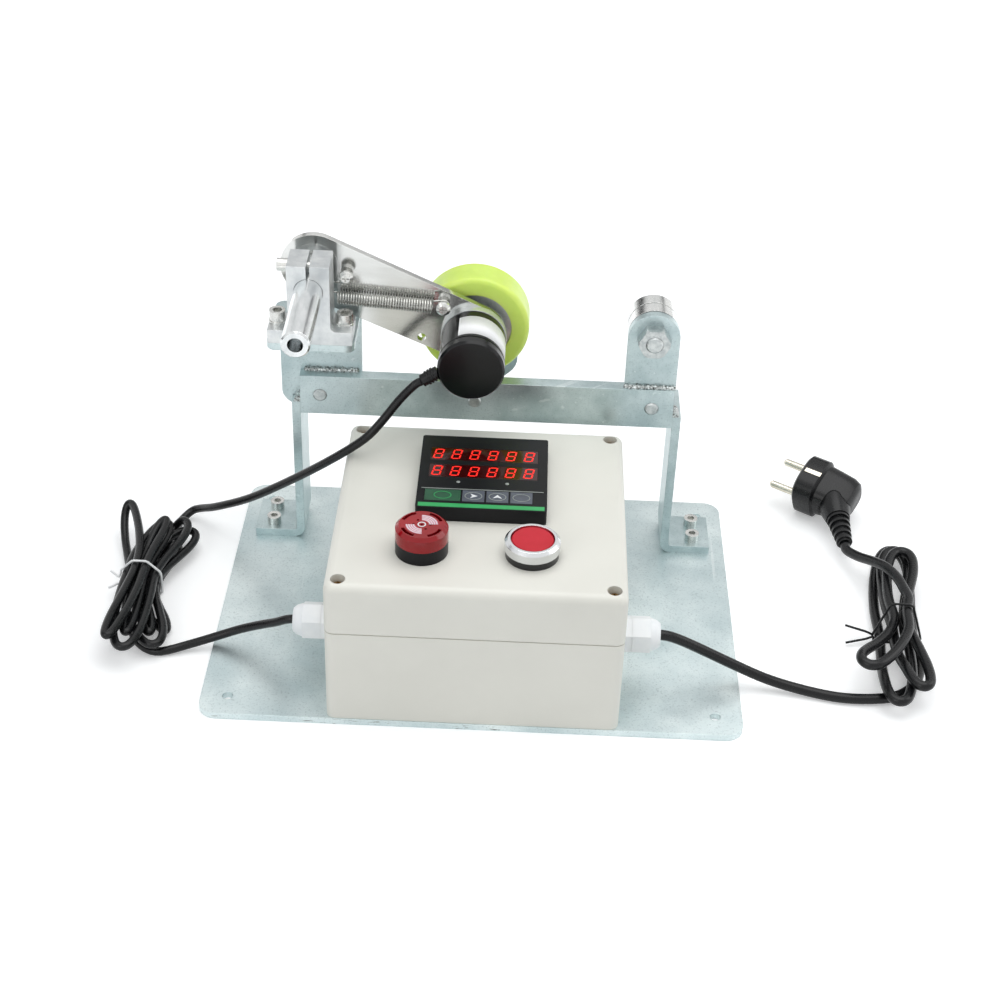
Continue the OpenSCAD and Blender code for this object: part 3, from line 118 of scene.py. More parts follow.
def latheMesh(profile, place, axis=(0, 0, 1), steps=64):
    # profile is (radius, height along the axis); a radius of 0 closes it
    way = Vector(axis).normalized()
    side = Vector((1, 0, 0)) if abs(way.x) < 0.8 else Vector((0, 0, 1))
    side = (side - side.dot(way) * way).normalized()
    other = way.cross(side)
    verts, faces, rings = [], [], []
    for r, h in profile:
        if r == 0:
            rings.append([len(verts)])
            verts.append(vec(Vector(place) + way * h))
            continue
        rings.append(list(range(len(verts), len(verts) + steps)))
        for k in range(steps):
            a = 2 * math.pi * k / steps
            verts.append(vec(Vector(place) + way * h + r * (math.cos(a) * side + math.sin(a) * other)))
    for a, b in zip(rings, rings[1:]):
        for k in range(steps):
            n = (k + 1) % steps
            if len(a) == 1 and len(b) > 1:
                faces.append((a[0], b[n], b[k]))
            elif len(b) == 1 and len(a) > 1:
                faces.append((a[k], a[n], b[0]))
            elif len(a) > 1:
                faces.append((a[k], a[n], b[n], b[k]))
    return verts, faces


def slabMesh(outline, low, high):
    # a flat outline in x and y, made solid from low to high
    n = len(outline)
    verts = [vec((x, y, low)) for x, y in outline] + [vec((x, y, high)) for x, y in outline]
    faces = [tuple(range(n))[::-1], tuple(range(n, 2 * n))]
    faces += [(k, (k + 1) % n, n + (k + 1) % n, n + k) for k in range(n)]
    return verts, faces


def boxMesh(middle, a, b, c):
    # a block from its middle and three half sides, in right-handed order
    corners = [Vector(middle) + i * Vector(a) + j * Vector(b) + k * Vector(c)
               for k in (-1, 1) for i, j in ((-1, -1), (1, -1), (1, 1), (-1, 1))]
    faces = [(3, 2, 1, 0), (4, 5, 6, 7)] + [(k, (k + 1) % 4, 4 + (k + 1) % 4, 4 + k) for k in range(4)]
    return [vec(p) for p in corners], faces


def joinMeshes(parts):
    verts, faces = [], []
    for v, f in parts:
        base = len(verts)
        verts += v
        faces += [tuple(i + base for i in face) for face in f]
    return verts, faces


# camera, at the photograph's angle
cameraPlace = {"metres": (0.01984, -0.86434, 0.67763), "degrees": (55.182, -1.7325, 1.8096), "lens": 66.086}
cameraData = bpy.data.cameras.new("camera")
camera = bpy.data.objects.new("camera", cameraData)
bpy.context.scene.collection.objects.link(camera)
bpy.context.scene.camera = camera
camera.location = cameraPlace["metres"]
camera.rotation_euler = [math.radians(a) for a in cameraPlace["degrees"]]
cameraData.sensor_width = 36
cameraData.lens = cameraPlace["lens"]
cameraData.clip_start, cameraData.clip_end = 0.01, 50
print("camera placed")

# cords: the same routes as the solids, in finer steps
thin = {"r": 2.5, "step": 5.6, "low": 4.3, "waist": (-200, -4)}
thick = {"r": 3.0, "step": 6.6, "low": 4.8, "waist": (246, -19)}
cordSteps, cordSides = 4, 16


def halfTurn(waist, a, b, za, zb, up, lean, reach, half, r0, r1, steps=12):
    # round one end of a hank, from side place a to b and from height za to zb, climbing between r0 and r1
    out = []
    sign = (a > b) - (a < b)
    for i in range(steps):
        u = i / steps
        c, s = math.cos(math.pi * u), math.sin(math.pi * u)
        turn = math.radians(lean) * (1 - (1 - s) ** 2)
        bulge = sign * (half - abs(a - b) / 2) * s ** 1.2 * math.copysign(1, c) * abs(c) ** 0.8
        side = (a + b) / 2 + (a - b) / 2 * c + bulge
        climb = min(1, max(0, (u - r0) / (r1 - r0)))
        out.append((waist[0] + side * math.cos(turn) + reach * s * math.sin(turn),
                    waist[1] + up * (reach * s * math.cos(turn) - side * math.sin(turn)),
                    za + (zb - za) * climb * climb * (3 - 2 * climb)))
    return out


def hankTurns(cord, rows, firstUp):
    # rows hold side place and height in strand steps, then lean, reach, half width and where it climbs
    out = []
    step, low = cord["step"], cord["low"]
    for i, (a, b) in enumerate(zip(rows, rows[1:])):
        up = firstUp if i % 2 == 0 else -firstUp
        out += halfTurn(cord["waist"], a[0] * step, b[0] * step, low + a[1] * step, low + b[1] * step,
                        up, *a[2:])
    return out


sensorRows = [
    (1.5, 0, 24.6, 43.1, 5.3, 0, 1), (-0.5, 0, 19.2, 39.4, 4.6, 0.27, 0.39),
    (0.5, 1, 15.8, 48.7, 4.6, 0, 1), (-0.5, 1, 18.2, 56.5, 14.1, 0, 1),
    (1.5, 1, 17.1, 60.3, 13.2, 0, 1), (-1.5, 1, 14.2, 58.4, 15.4, 0.41, 0.53),
    (1.5, 2, 2, 67.8, 12.6, 0, 1), (-1.5, 2, 9.1, 52.8, 9.6, 0, 1),
    (0.5, 2, 1.9, 54.5, 4.6, 0, 1), (-0.5, 2, 7.4, 48.3, 4.6, 0.1, 0.36),
    (0.5, 3, -5.7, 65.3, 5.7, 0, 1), (-0.5, 3, -12.2, 66.9, 7.3, 0.44, 0.85),
    (-1.5, 0, 0, 0, 0, 0, 1)]
powerRows = [
    (1.5, 0, 6, 86, 16, 0, 1), (-1.5, 0, -4.4, 66.1, 12.9, 0.05, 0.3),
    (0.5, 1, 6.7, 77.1, 14.5, 0, 1), (-0.5, 1, 4.9, 59.9, 11, 0.07, 0.3),
    (0.5, 2, 9.6, 67.8, 13.9, 0, 1), (-0.5, 2, -27.1, 56.9, 14, 0.1, 0.4),
    (0.5, 3, 0, 0, 0, 0, 1)]
sensorPoints = [
    (-36, 20, 142), (-40.2, 19, 139.6), (-48.5, 18, 130), (-58, 15, 117.5), (-68, 11.5, 107),
    (-88, 17.5, 88), (-114, 32, 62.5), (-142, 48, 37), (-165.5, 63, 19), (-176, 72, 11),
    (-183, 75.5, 6.5), (-188.2, 69.5, 4.3), (-190.5, 60, 4.3)]
sensorTail = [
    (-205, -26, 4.3), (-201.5, -36, 3.6), (-196, -48, 2.8), (-188.5, -56.5, 2.6), (-179, -59, 2.6),
    (-163, -54, 4.8), (-148, -51, 9), (-134, -51, 15), (-121, -56, 23), (-112, -62, 30),
    (-103, -66, 36), (-91, -66, 36), (-69, -66, 36)]
powerPoints = [
    (71, -66, 36), (93, -66, 36), (105, -66, 36), (114, -65.5, 33), (128, -64, 25),
    (146, -64.5, 16), (166, -66, 7.5), (188, -70, 3.6), (208, -74, 3), (227, -74, 3.4)]
plugLead = [
    (250.5, 1, 24.7), (248, 12, 24.8), (243, 22, 24.6), (237.5, 33, 20.5), (231, 45, 14.8),
    (225.4, 55.5, 11.6), (224.8, 61, 12)]

sensorHank = [(-188.5, 47, 4.3), (-185.1, 34, 4.3), (-188.4, 20, 4.3), (-191.3, 8, 4.3)]
sensorHank += hankTurns(thin, sensorRows, -1)
sensorHank += [(thin["waist"][0] - 1.5 * thin["step"], thin["waist"][1], 4.3), (-209.5, -15, 4.3)]
powerHank = [(240, -71, 4), (250, -62, 4.8), (255, -49, 4.8), (256, -35, 4.8)]
powerHank += hankTurns(thick, powerRows, 1)
powerHank += [(thick["waist"][0] + 0.5 * thick["step"], thick["waist"][1], 24.6), (251.8, -8, 24.6)]

sensorLine = smoothLine(sensorPoints + sensorHank + sensorTail, cordSteps)
sensorSplit = cordSteps * (len(sensorPoints) - 1)
powerLine = smoothLine(powerPoints + powerHank + plugLead, cordSteps)

armTube = tubeMesh(sensorLine, thin["r"], cordSides, 0, sensorSplit)
sensorArmCord = makePiece("sensorArmCord", *armTube, None, None)
benchTube = tubeMesh(sensorLine, thin["r"], cordSides, sensorSplit)
sensorBenchCord = makePiece("sensorBenchCord", *benchTube, None, "frame")
powerLeadCord = makePiece("powerLeadCord", *tubeMesh(powerLine, thick["r"], cordSides), None, "frame")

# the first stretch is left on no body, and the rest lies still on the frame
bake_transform(sensorArmCord)
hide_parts("sensor_cord")
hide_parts("sensor_hank", "sensor_tail")
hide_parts("power_cord", "power_hank", "plug_lead")
print("cords laid:", round(lineLength(sensorLine)), "mm and", round(lineLength(powerLine)), "mm")


def hexColour(text):
    # sRGB hex to linear
    parts = [int(text[i:i + 2], 16) / 255 for i in (1, 3, 5)]
    return tuple(p / 12.92 if p <= 0.04045 else ((p + 0.055) / 1.055) ** 2.4 for p in parts) + (1.0,)


def addNode(tree, kind, settings=None):
    # the name or number of a socket takes a value or a link, any other name is a setting of the node
    node = tree.nodes.new(kind)
    for name, value in (settings or {}).items():
        if isinstance(name, str) and name not in node.inputs:
            setattr(node, name, value)
        elif isinstance(value, bpy.types.NodeSocket):
            tree.links.new(value, node.inputs[name])
        else:
            node.inputs[name].default_value = value
    return node


def startMaterial(name, settings):
    material = bpy.data.materials.new(name)
    material.use_nodes = True
    tree = material.node_tree
    tree.nodes.clear()
    shader = addNode(tree, "ShaderNodeBsdfPrincipled", settings)
    addNode(tree, "ShaderNodeOutputMaterial", {"Surface": shader.outputs[0]})
    return material, tree, shader, addNode(tree, "ShaderNodeTexCoord").outputs["Object"]


def perMetre(size):
    # noise scale for a pattern of that size in millimetres
    return 1000 / size


def finishSurface(tree, shader, height, depth, edge):
    # small relief of that depth in millimetres, on edges that the tool or the mould left slightly round
    rounding = addNode(tree, "ShaderNodeBevel", {"samples": 4, "Radius": edge * mm})
    relief = addNode(tree, "ShaderNodeBump", {
        "Strength": 1.0, "Distance": depth * mm, "Height": height, "Normal": rounding.outputs[0]})
    tree.links.new(relief.outputs[0], shader.inputs["Normal"])


def plainSurface(name, look):
    # two close colours in patches, a fine grain as relief, and a roughness that wanders;
    # grain finer than 0.3 mm doesn't show, so moulded, ground and blasted grain is drawn coarser than it is
    fixed = {k: v for k, v in look.items() if k[0].isupper()}
    material, tree, shader, place = startMaterial(name, fixed)
    if "stretch" in look:
        place = addNode(tree, "ShaderNodeMapping", {"Vector": place, "Scale": look["stretch"]}).outputs[0]
    patches = addNode(tree, "ShaderNodeTexNoise", {
        "Vector": place, "Scale": perMetre(look["patch"]), "Detail": 4, "Roughness": 0.6}).outputs["Fac"]
    grain = addNode(tree, "ShaderNodeTexNoise", {
        "Vector": place, "Scale": perMetre(look["grain"]), "Detail": 3, "Roughness": 0.55}).outputs["Fac"]
    share = addNode(tree, "ShaderNodeMapRange", {0: patches, 1: 0.35, 2: 0.65}).outputs[0]
    first, second = [hexColour(c) for c in look["colours"]]
    colour = addNode(tree, "ShaderNodeMix", {"data_type": "RGBA", 0: share, 6: first, 7: second}).outputs[2]
    low, high = look["rough"]
    rough = addNode(tree, "ShaderNodeMapRange", {0: grain, 1: 0.3, 2: 0.7, 3: low, 4: high}).outputs[0]
    tree.links.new(colour, shader.inputs["Base Color"])
    tree.links.new(rough, shader.inputs["Roughness"])
    finishSurface(tree, shader, grain, look["depth"], look.get("edge", 0.35))
    return material


def dress(material, *names):
    for name in names:
        slots = nodes[name].data.materials
        slots.clear()
        slots.append(material)


# zinc-plated steel sheet: pale blue, cloudy where the bath left it uneven, rolled and handled
def zincPlate(name, look):
    material, tree, shader, place = startMaterial(name, {"Metallic": look["metal"]})
    turned = addNode(tree, "ShaderNodeMapping", {"Vector": place, "Rotation": (0, 0, 0.9)}).outputs[0]
    patterns = {}
    for key, start, size, detail, rough, stretch in (
            ("cloud", place, look["cloud"], 5, 0.62, (1, 1, 1)),
            ("speck", place, look["speck"], 2, 0.7, (1, 1, 1)),
            ("rolled", place, look["rolled"], 2, 0.5, look["along"]),
            ("scratches", place, look["scratch"], 1, 0.4, (1, 0.04, 1)),
            ("crossed", turned, look["scratch"] * 1.4, 1, 0.4, (1, 0.03, 1))):
        start = addNode(tree, "ShaderNodeMapping", {"Vector": start, "Scale": stretch}).outputs[0]
        patterns[key] = addNode(tree, "ShaderNodeTexNoise", {
            "Vector": start, "Scale": perMetre(size), "Detail": detail, "Roughness": rough}).outputs["Fac"]
    colour = hexColour(look["colours"][0])
    for key, over, low, high, most in (
            ("cloud", look["colours"][1], 0.36, 0.64, 1.0), ("speck", look["spot"], 0.54, 0.74, 0.45),
            ("scratches", look["scratched"], 0.73, 0.78, 0.4),
            ("crossed", look["scratched"], 0.74, 0.79, 0.35)):
        share = addNode(tree, "ShaderNodeMapRange", {0: patterns[key], 1: low, 2: high, 4: most}).outputs[0]
        colour = addNode(tree, "ShaderNodeMix", {
            "data_type": "RGBA", 0: share, 6: colour, 7: hexColour(over)}).outputs[2]
    low, high = look["rough"]
    rough = addNode(tree, "ShaderNodeMapRange", {
        0: patterns["cloud"], 1: 0.3, 2: 0.7, 3: low, 4: high}).outputs[0]
    tree.links.new(colour, shader.inputs["Base Color"])
    tree.links.new(rough, shader.inputs["Roughness"])
    finishSurface(tree, shader, patterns["rolled"], look["depth"], look["edge"])
    return material, tree, shader, place, colour


zincLook = {"metal": 0.9, "cloud": 34, "speck": 1.1, "rolled": 0.9, "along": (1, 0.5, 1), "scratch": 3.0,
            "colours": ("#a9babc", "#ccd9da"), "spot": "#7f9195", "scratched": "#e8efef",
            "rough": (0.28, 0.44), "depth": 0.035, "edge": 0.5}
frameZinc = zincPlate("zincPlatedSteelFrame", zincLook)[0]
dress(frameZinc, "crossbar", "uprights", "side_plate", "shelf_plate", "right_lug", "keeper_plate")

plateZinc, tree, shader, place, colour = zincPlate("zincPlatedSteelBase", dict(
    zincLook, cloud=60, colours=("#c0cfd1", "#dde7e7"), rough=(0.32, 0.48)))
# dark oily marks where the shears cut the front edge, on its left part
oil = {"front": (-0.1104, -0.1108), "left": (0.036, 0.030), "seen": (0.60, 0.66), "size": 16,
       "stretch": (1, 1, 9), "colour": "#5d5b55"}
split = addNode(tree, "ShaderNodeSeparateXYZ", {"Vector": place})
stretched = addNode(tree, "ShaderNodeMapping", {"Vector": place, "Scale": oil["stretch"]}).outputs[0]
smears = addNode(tree, "ShaderNodeTexNoise", {
    "Vector": stretched, "Scale": perMetre(oil["size"]), "Detail": 4, "Roughness": 0.7}).outputs["Fac"]
share = 1.0
for source, (low, high) in ((split.outputs["Y"], oil["front"]), (smears, oil["seen"]),
                            (split.outputs["X"], oil["left"])):
    part = addNode(tree, "ShaderNodeMapRange", {0: source, 1: low, 2: high}).outputs[0]
    share = addNode(tree, "ShaderNodeMath", {"operation": "MULTIPLY", 0: share, 1: part}).outputs[0]
edged = addNode(tree, "ShaderNodeMix", {
    "data_type": "RGBA", 0: share, 6: colour, 7: hexColour(oil["colour"])}).outputs[2]
tree.links.new(edged, shader.inputs["Base Color"])
dress(plateZinc, "base_plate")

# weld: bright spattered steel, with dark scale left in its hollows
weldedSteel = plainSurface("weldedSteel", {
    "Metallic": 0.85, "patch": 1.3, "grain": 0.7, "depth": 0.2, "rough": (0.25, 0.5),
    "colours": ("#4f5250", "#dfe5e4")})
dress(weldedSteel, "weld_beads")
weld = {"lump": 1.1, "sides": 10, "rows": (58, 60, 62), "endRadius": 1.3, "endReach": (0.5, 3),
        "endRise": (1.2, 0.6), "plateRadius": 1.9, "plateInset": (14.5, 2.5), "lugInset": (0.5, 0.5),
        "backOut": 0.6, "backRise": (0.5, 0.6)}
bar = {"left": -110, "right": 110, "back": 64, "top": 120.5, "post": 102.5}


def weldBead(start, end, radius):
    # a row of overlapping lumps of uneven size along one seam
    a, b = Vector(start), Vector(end)
    count = round((b - a).length / weld["lump"])
    line = [a.lerp(b, i / count) + Vector((0, 0.7 * math.sin(2.3 * i), 0.6 * math.cos(3.1 * i)))
            for i in range(count + 1)]

    def swell(u):
        return radius * (0.85 + 0.4 * math.sin(2.1 * count * u) * math.cos(0.7 * count * u + 1))
    return tubeMesh(line, swell, weld["sides"])


beads = []
for end, out in ((bar["left"], -1), (bar["right"], 1)):
    start, stop = end - weld["endReach"][0] * out, end + weld["endReach"][1] * out
    high, low = [bar["post"] + rise for rise in weld["endRise"]]
    for y in weld["rows"]:
        beads.append(weldBead((start, y, high), (stop, y, low), weld["endRadius"]))
for node, inset, y in (("side_plate", "plateInset", bar["back"]), ("right_lug", "lugInset", None)):
    low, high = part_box(node)
    left, right = low.x / mm + weld[inset][0], high.x / mm - weld[inset][1]
    back = (low.y / mm if y is None else y) - weld["backOut"]
    first, last = [bar["top"] + rise for rise in weld["backRise"]]
    beads.append(weldBead((left, back, first), (right, back, last), weld["plateRadius"]))
makePiece("weldLumps", *joinMeshes(beads), weldedSteel, "frame")

# nickel-plated fasteners: bright and slightly warm, with a fine turned grain
dress(plainSurface("nickelPlatedFasteners", {
    "Metallic": 1.0, "patch": 4, "grain": 0.5, "depth": 0.01, "rough": (0.2, 0.32), "edge": 0.25,
    "colours": ("#c3c4c2", "#dcdcd8")}), "foot_screws", "block_screws", "arm_screws", "shaft_retainer",
    "roller_washers")

# zinc-plated bolts and nuts: cooler and duller than the screws
dress(plainSurface("zincPlatedBolts", {
    "Metallic": 1.0, "patch": 3, "grain": 0.6, "depth": 0.015, "rough": (0.26, 0.4), "edge": 0.3,
    "colours": ("#a7adae", "#c9cdcc")}), "lug_bolt", "roller_bolts")

# ground bearing steel: bright and clean, a ring of grinding lines
dress(plainSurface("groundBearingSteel", {
    "Metallic": 1.0, "patch": 6, "grain": 0.35, "depth": 0.006, "rough": (0.14, 0.24), "edge": 0.3,
    "stretch": (1, 0.2, 1), "colours": ("#cfd1d0", "#e2e3e1")}), "upper_roller", "left_roller",
    "centre_roller", "right_roller", "inner_rings", "arm_bearing")

# satin aluminium, milled and blasted: soft grey with no clear reflection
dress(plainSurface("blastedAluminium", {
    "Metallic": 1.0, "patch": 9, "grain": 0.35, "depth": 0.02, "rough": (0.34, 0.44), "edge": 0.4,
    "colours": ("#bfc3c5", "#d6d9d9")}), "clamp_block", "encoder_flange")

# turned steel shaft: bright, with fine rings left by the lathe
dress(plainSurface("turnedSteel", {
    "Metallic": 1.0, "patch": 7, "grain": 0.3, "depth": 0.003, "rough": (0.16, 0.24), "edge": 0.3,
    "stretch": (1, 0.3, 1), "colours": ("#cdd1d2", "#e2e4e5")}), "pivot_shaft", "encoder_shaft")

# polished aluminium arm: a nearly clear mirror with faint brushing along it
dress(plainSurface("polishedAluminium", {
    "Metallic": 1.0, "patch": 14, "grain": 0.5, "depth": 0.004, "rough": (0.12, 0.2), "edge": 0.3,
    "stretch": (0.15, 1, 0.9), "colours": ("#c9cac7", "#dcdddb")}), "arm_plate")

# cast wheel hub: grey, a little rough
dress(plainSurface("castAluminium", {
    "Metallic": 0.9, "patch": 5, "grain": 0.5, "depth": 0.02, "rough": (0.3, 0.42),
    "colours": ("#b9bfc1", "#d5d8d8")}), "wheel_hub")

# ABS box: ivory, a fine moulded grain and a soft gloss
dress(plainSurface("mouldedAbsIvory", {
    "IOR": 1.53, "patch": 60, "grain": 0.5, "depth": 0.012, "rough": (0.34, 0.42), "edge": 0.5,
    "colours": ("#e0dfd6", "#e4e3da")}), "enclosure_base", "enclosure_lid")

# brass-coloured passivated screws down their wells
dress(plainSurface("passivatedScrews", {
    "Metallic": 0.9, "patch": 2, "grain": 0.5, "depth": 0.02, "rough": (0.3, 0.45),
    "colours": ("#6e5334", "#93754c")}), "lid_screws")

# black ABS of the meter and buzzer: satin, very fine grain
blackAbs = plainSurface("mouldedAbsBlack", {
    "IOR": 1.5, "Specular IOR Level": 0.22, "patch": 20, "grain": 0.4, "depth": 0.008, "rough": (0.34, 0.42),
    "edge": 0.4, "colours": ("#0e0f12", "#131518")})
dress(blackAbs, "meter_front", "meter_case", "buzzer_base", "panel_nuts")

# encoder cap: black painted metal, smoother than the plastic
dress(plainSurface("blackPaint", {
    "IOR": 1.5, "Specular IOR Level": 0.3, "patch": 10, "grain": 0.5, "depth": 0.005, "rough": (0.16, 0.24),
    "edge": 0.6, "colours": ("#0b0c0d", "#101113")}), "encoder_cap", "encoder_body")

# paper label on the encoder: white, coated, blank
whiteLabel = plainSurface("whiteLabel", {
    "IOR": 1.5, "patch": 12, "grain": 0.6, "depth": 0.004, "rough": (0.32, 0.4),
    "colours": ("#e9eaea", "#f0f1f0")})
label = {"middle": (-8.5, 150.8), "r": 18.62, "sunk": 0.05, "thick": 0.12, "degrees": (-20, 115),
         "y": (28, 48), "steps": 40}
(x, z), (start, stop) = label["middle"], label["degrees"]
verts = []
for i in range(label["steps"] + 1):
    turn = math.radians(start + (stop - start) * i / label["steps"])
    for y in label["y"]:
        for r in (label["r"] - label["sunk"], label["r"] + label["thick"]):
            verts.append(vec((x + r * math.cos(turn), y, z + r * math.sin(turn))))
faces = [(0, 1, 3, 2), (len(verts) - 4, len(verts) - 2, len(verts) - 1, len(verts) - 3)]
for i in range(label["steps"]):
    a, b = 4 * i, 4 * i + 4
    faces += [(a + p, b + p, b + q, a + q) for p, q in ((0, 2), (2, 3), (3, 1), (1, 0))]
makePiece("encoderLabel", verts, faces, whiteLabel, "arm")

# soft PVC: black with a low sheen and a slightly uneven skin
softPvc = plainSurface("softPvcBlack", {
    "IOR": 1.5, "Specular IOR Level": 0.3, "patch": 12, "grain": 0.9, "depth": 0.015, "rough": (0.24, 0.34),
    "colours": ("#0c0d0e", "#121315")})
dress(softPvc, "encoder_boot", "plug_body", "plug_sleeve")
for piece in (sensorArmCord, sensorBenchCord, powerLeadCord):
    piece.data.materials.append(softPvc)

# moulded plug: a wide front with flats, a slimmer grip behind, an elbow to the sleeve
plug = {"face": Vector((204.5, 119, 18.1)), "out": Vector((-0.83, 0.555, 0)).normalized(),
        "row": Vector((0.515, 0.772, 0.4)).normalized(), "steps": 48,
        "sections": [(0, 15.8, 14.6), (1.2, 17.2, 15.8), (13, 17.2, 15.8), (14.5, 15.6, 12.8), (22, 15, 11.4),
                     (31, 13.8, 10.2), (35, 12, 8.6), (36.5, 9, 6)],
        "neck": [(0, 2), (11, 2), (10.6, 10), (8.4, 20), (7.5, 23.5), (0, 23.5)],
        "strip": {"back": 8, "side": 15.8, "half": (5.5, 1.5, 0.35)}}
plug["side"] = plug["out"].cross(plug["row"]).normalized()
plug["elbow"] = plug["face"] - 20 * plug["out"] + Vector((0, 0, -1.2))


def plugShell():
    # rounded flat-sided outlines, one behind the other
    verts, faces, steps = [], [], plug["steps"]
    for back, wide, deep in plug["sections"]:
        for k in range(steps):
            a = 2 * math.pi * k / steps
            c, d = math.cos(a), math.sin(a)
            reach = (abs(c) ** 3 + abs(d) ** 3) ** (-1 / 3)
            across = wide * c * plug["row"] + deep * d * plug["side"]
            verts.append(vec(plug["face"] - back * plug["out"] + reach * across))
    last = len(verts) - steps
    for i in range(0, last, steps):
        for k in range(steps):
            n = (k + 1) % steps
            faces.append((i + k, i + n, i + steps + n, i + steps + k))
    faces.append(tuple(range(steps))[::-1])
    faces.append(tuple(range(last, last + steps)))
    return verts, faces


sleeveWay = (Vector(plugLead[-1]) - plug["elbow"]).normalized()
neck = latheMesh(plug["neck"], plug["elbow"], sleeveWay)
plugBody = makePiece("plugShell", *joinMeshes([plugShell(), neck]), softPvc, "frame")
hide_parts("plug_body")
plugBody.data.set_sharp_from_angle(angle=math.radians(35))

# nylon glands: white, waxy, light passes a little way in
nylonWhite = plainSurface("mouldedNylonWhite", {
    "IOR": 1.53, "patch": 10, "grain": 0.5, "depth": 0.01, "rough": (0.34, 0.42), "edge": 0.5,
    "Subsurface Weight": 0.25, "Subsurface Radius": (0.004, 0.004, 0.004), "Subsurface Scale": 0.5,
    "colours": ("#eef1f3", "#f4f6f7")})
dress(nylonWhite, "gland_bodies", "gland_caps")

# plug pins and side contacts: nickel-plated brass, warm under the plating
platedBrass = plainSurface("nickelPlatedBrass", {
    "Metallic": 1.0, "patch": 3, "grain": 0.5, "depth": 0.006, "rough": (0.18, 0.28), "edge": 0.3,
    "colours": ("#c9c3b2", "#dcd8cb")})
dress(platedBrass, "plug_contacts")
strip, strips = plug["strip"], []
for way in (-1, 1):
    # one strip lies along each flat side of the plug's front
    middle = plug["face"] - strip["back"] * plug["out"] + way * strip["side"] * plug["side"]
    strips.append(boxMesh(middle, *(h * plug[k] for h, k in zip(strip["half"], ("out", "row", "side")))))
plugStrips = makePiece("plugStrips", *joinMeshes(strips), platedBrass, "frame", False)

# polyurethane tyre: cast, clear yellow-green, light glows through its edges
dress(plainSurface("castPolyurethane", {
    "IOR": 1.5, "Transmission Weight": 0.1, "Subsurface Weight": 0.5, "Subsurface Scale": 0.6,
    "Subsurface Radius": (0.012, 0.012, 0.002), "patch": 25, "grain": 0.7, "depth": 0.01,
    "rough": (0.28, 0.38), "edge": 0.6, "colours": ("#d2ee6c", "#e0f97c")}), "wheel_tyre")

# meter windows: clear red acrylic over a dark display
dress(plainSurface("redAcrylic", {
    "IOR": 1.49, "patch": 30, "grain": 2, "depth": 0.001, "rough": (0.05, 0.09), "edge": 0.2,
    "colours": ("#2c0607", "#38090a")}), "meter_windows")

# membrane keys: printed polyester film, green and grey
dress(plainSurface("greenFilm", {
    "IOR": 1.55, "patch": 6, "grain": 0.6, "depth": 0.006, "rough": (0.34, 0.44), "edge": 0.3,
    "colours": ("#1d4a33", "#24563c")}), "key_green")
dress(plainSurface("greyFilm", {
    "IOR": 1.55, "patch": 6, "grain": 0.6, "depth": 0.006, "rough": (0.34, 0.44), "edge": 0.3,
    "colours": ("#4b505a", "#575d68")}), "key_right", "key_up", "key_last")

# buzzer lens: clear red polycarbonate, deep where it is thick
dress(plainSurface("redPolycarbonate", {
    "IOR": 1.58, "Specular IOR Level": 0.3, "Transmission Weight": 0.15, "patch": 20, "grain": 1,
    "depth": 0.003, "rough": (0.08, 0.14), "edge": 0.4, "colours": ("#930813", "#a80c1a")}), "buzzer_lens")

# button ring: satin chrome above, a black moulded foot below
ring = {"split": (98.45, 98.55), "foot": "#121315", "chrome": "#d6d8da", "grain": 0.5, "depth": 0.004,
        "edge": 0.4}
material, tree, shader, place = startMaterial("satinChromeOnBlackFoot", {"Roughness": 0.22})
height = addNode(tree, "ShaderNodeSeparateXYZ", {"Vector": place}).outputs["Z"]
chrome = addNode(tree, "ShaderNodeMapRange", {
    0: height, 1: ring["split"][0] * mm, 2: ring["split"][1] * mm}).outputs[0]
colour = addNode(tree, "ShaderNodeMix", {
    "data_type": "RGBA", 0: chrome, 6: hexColour(ring["foot"]), 7: hexColour(ring["chrome"])}).outputs[2]
grain = addNode(tree, "ShaderNodeTexNoise", {
    "Vector": place, "Scale": perMetre(ring["grain"]), "Detail": 3, "Roughness": 0.5}).outputs["Fac"]
tree.links.new(colour, shader.inputs["Base Color"])
tree.links.new(chrome, shader.inputs["Metallic"])
finishSurface(tree, shader, grain, ring["depth"], ring["edge"])
dress(material, "button_ring")

# button cap: red polycarbonate, matt on top
dress(plainSurface("redCap", {
    "IOR": 1.55, "Specular IOR Level": 0.3, "Subsurface Weight": 0.1, "Subsurface Scale": 0.5,
    "Subsurface Radius": (0.006, 0.001, 0.001), "patch": 14, "grain": 0.5, "depth": 0.006,
    "rough": (0.36, 0.44), "edge": 0.4, "colours": ("#bd1a2a", "#c52032")}), "button_cap")
print("materials made")

# wire ties: the first end rises away behind the band, the last one droops in front of it
tie = {"r": 0.7, "sides": 10, "steps": 3, "gap": 1.4, "firstEnd": (3, 3), "lastEnd": (4, 1.5)}


def tieRoute(waist, corners, off, tail):
    # round the strands on each corner, and away on the left with both ends
    on = []
    for side, height, start, stop in corners:
        for k in range(4):
            a = math.radians(start + (stop - start) * k / 3)
            on.append((waist[0] + side + off * math.cos(a), height + off * math.sin(a)))
    n, r, gap = len(on) - 1, tie["r"], tie["gap"] * tie["r"]
    middle = (on[0][1] + on[n][1]) / 2
    back, rise = tie["firstEnd"]
    front, droop = tie["lastEnd"]
    begin = [(on[0][0] - tail * u, waist[1] + gap + back * u, middle + r + rise * u) for u in (1, 0.6, 0.25)]
    band = [(x, waist[1] + gap * (1 - 2 * i / n), z) for i, (x, z) in enumerate(on)]
    end = [(on[n][0] - tail * u, waist[1] - gap - front * u, middle - r - droop * u) for u in (0.25, 0.6, 1)]
    return smoothLine(begin + band + end, tie["steps"])


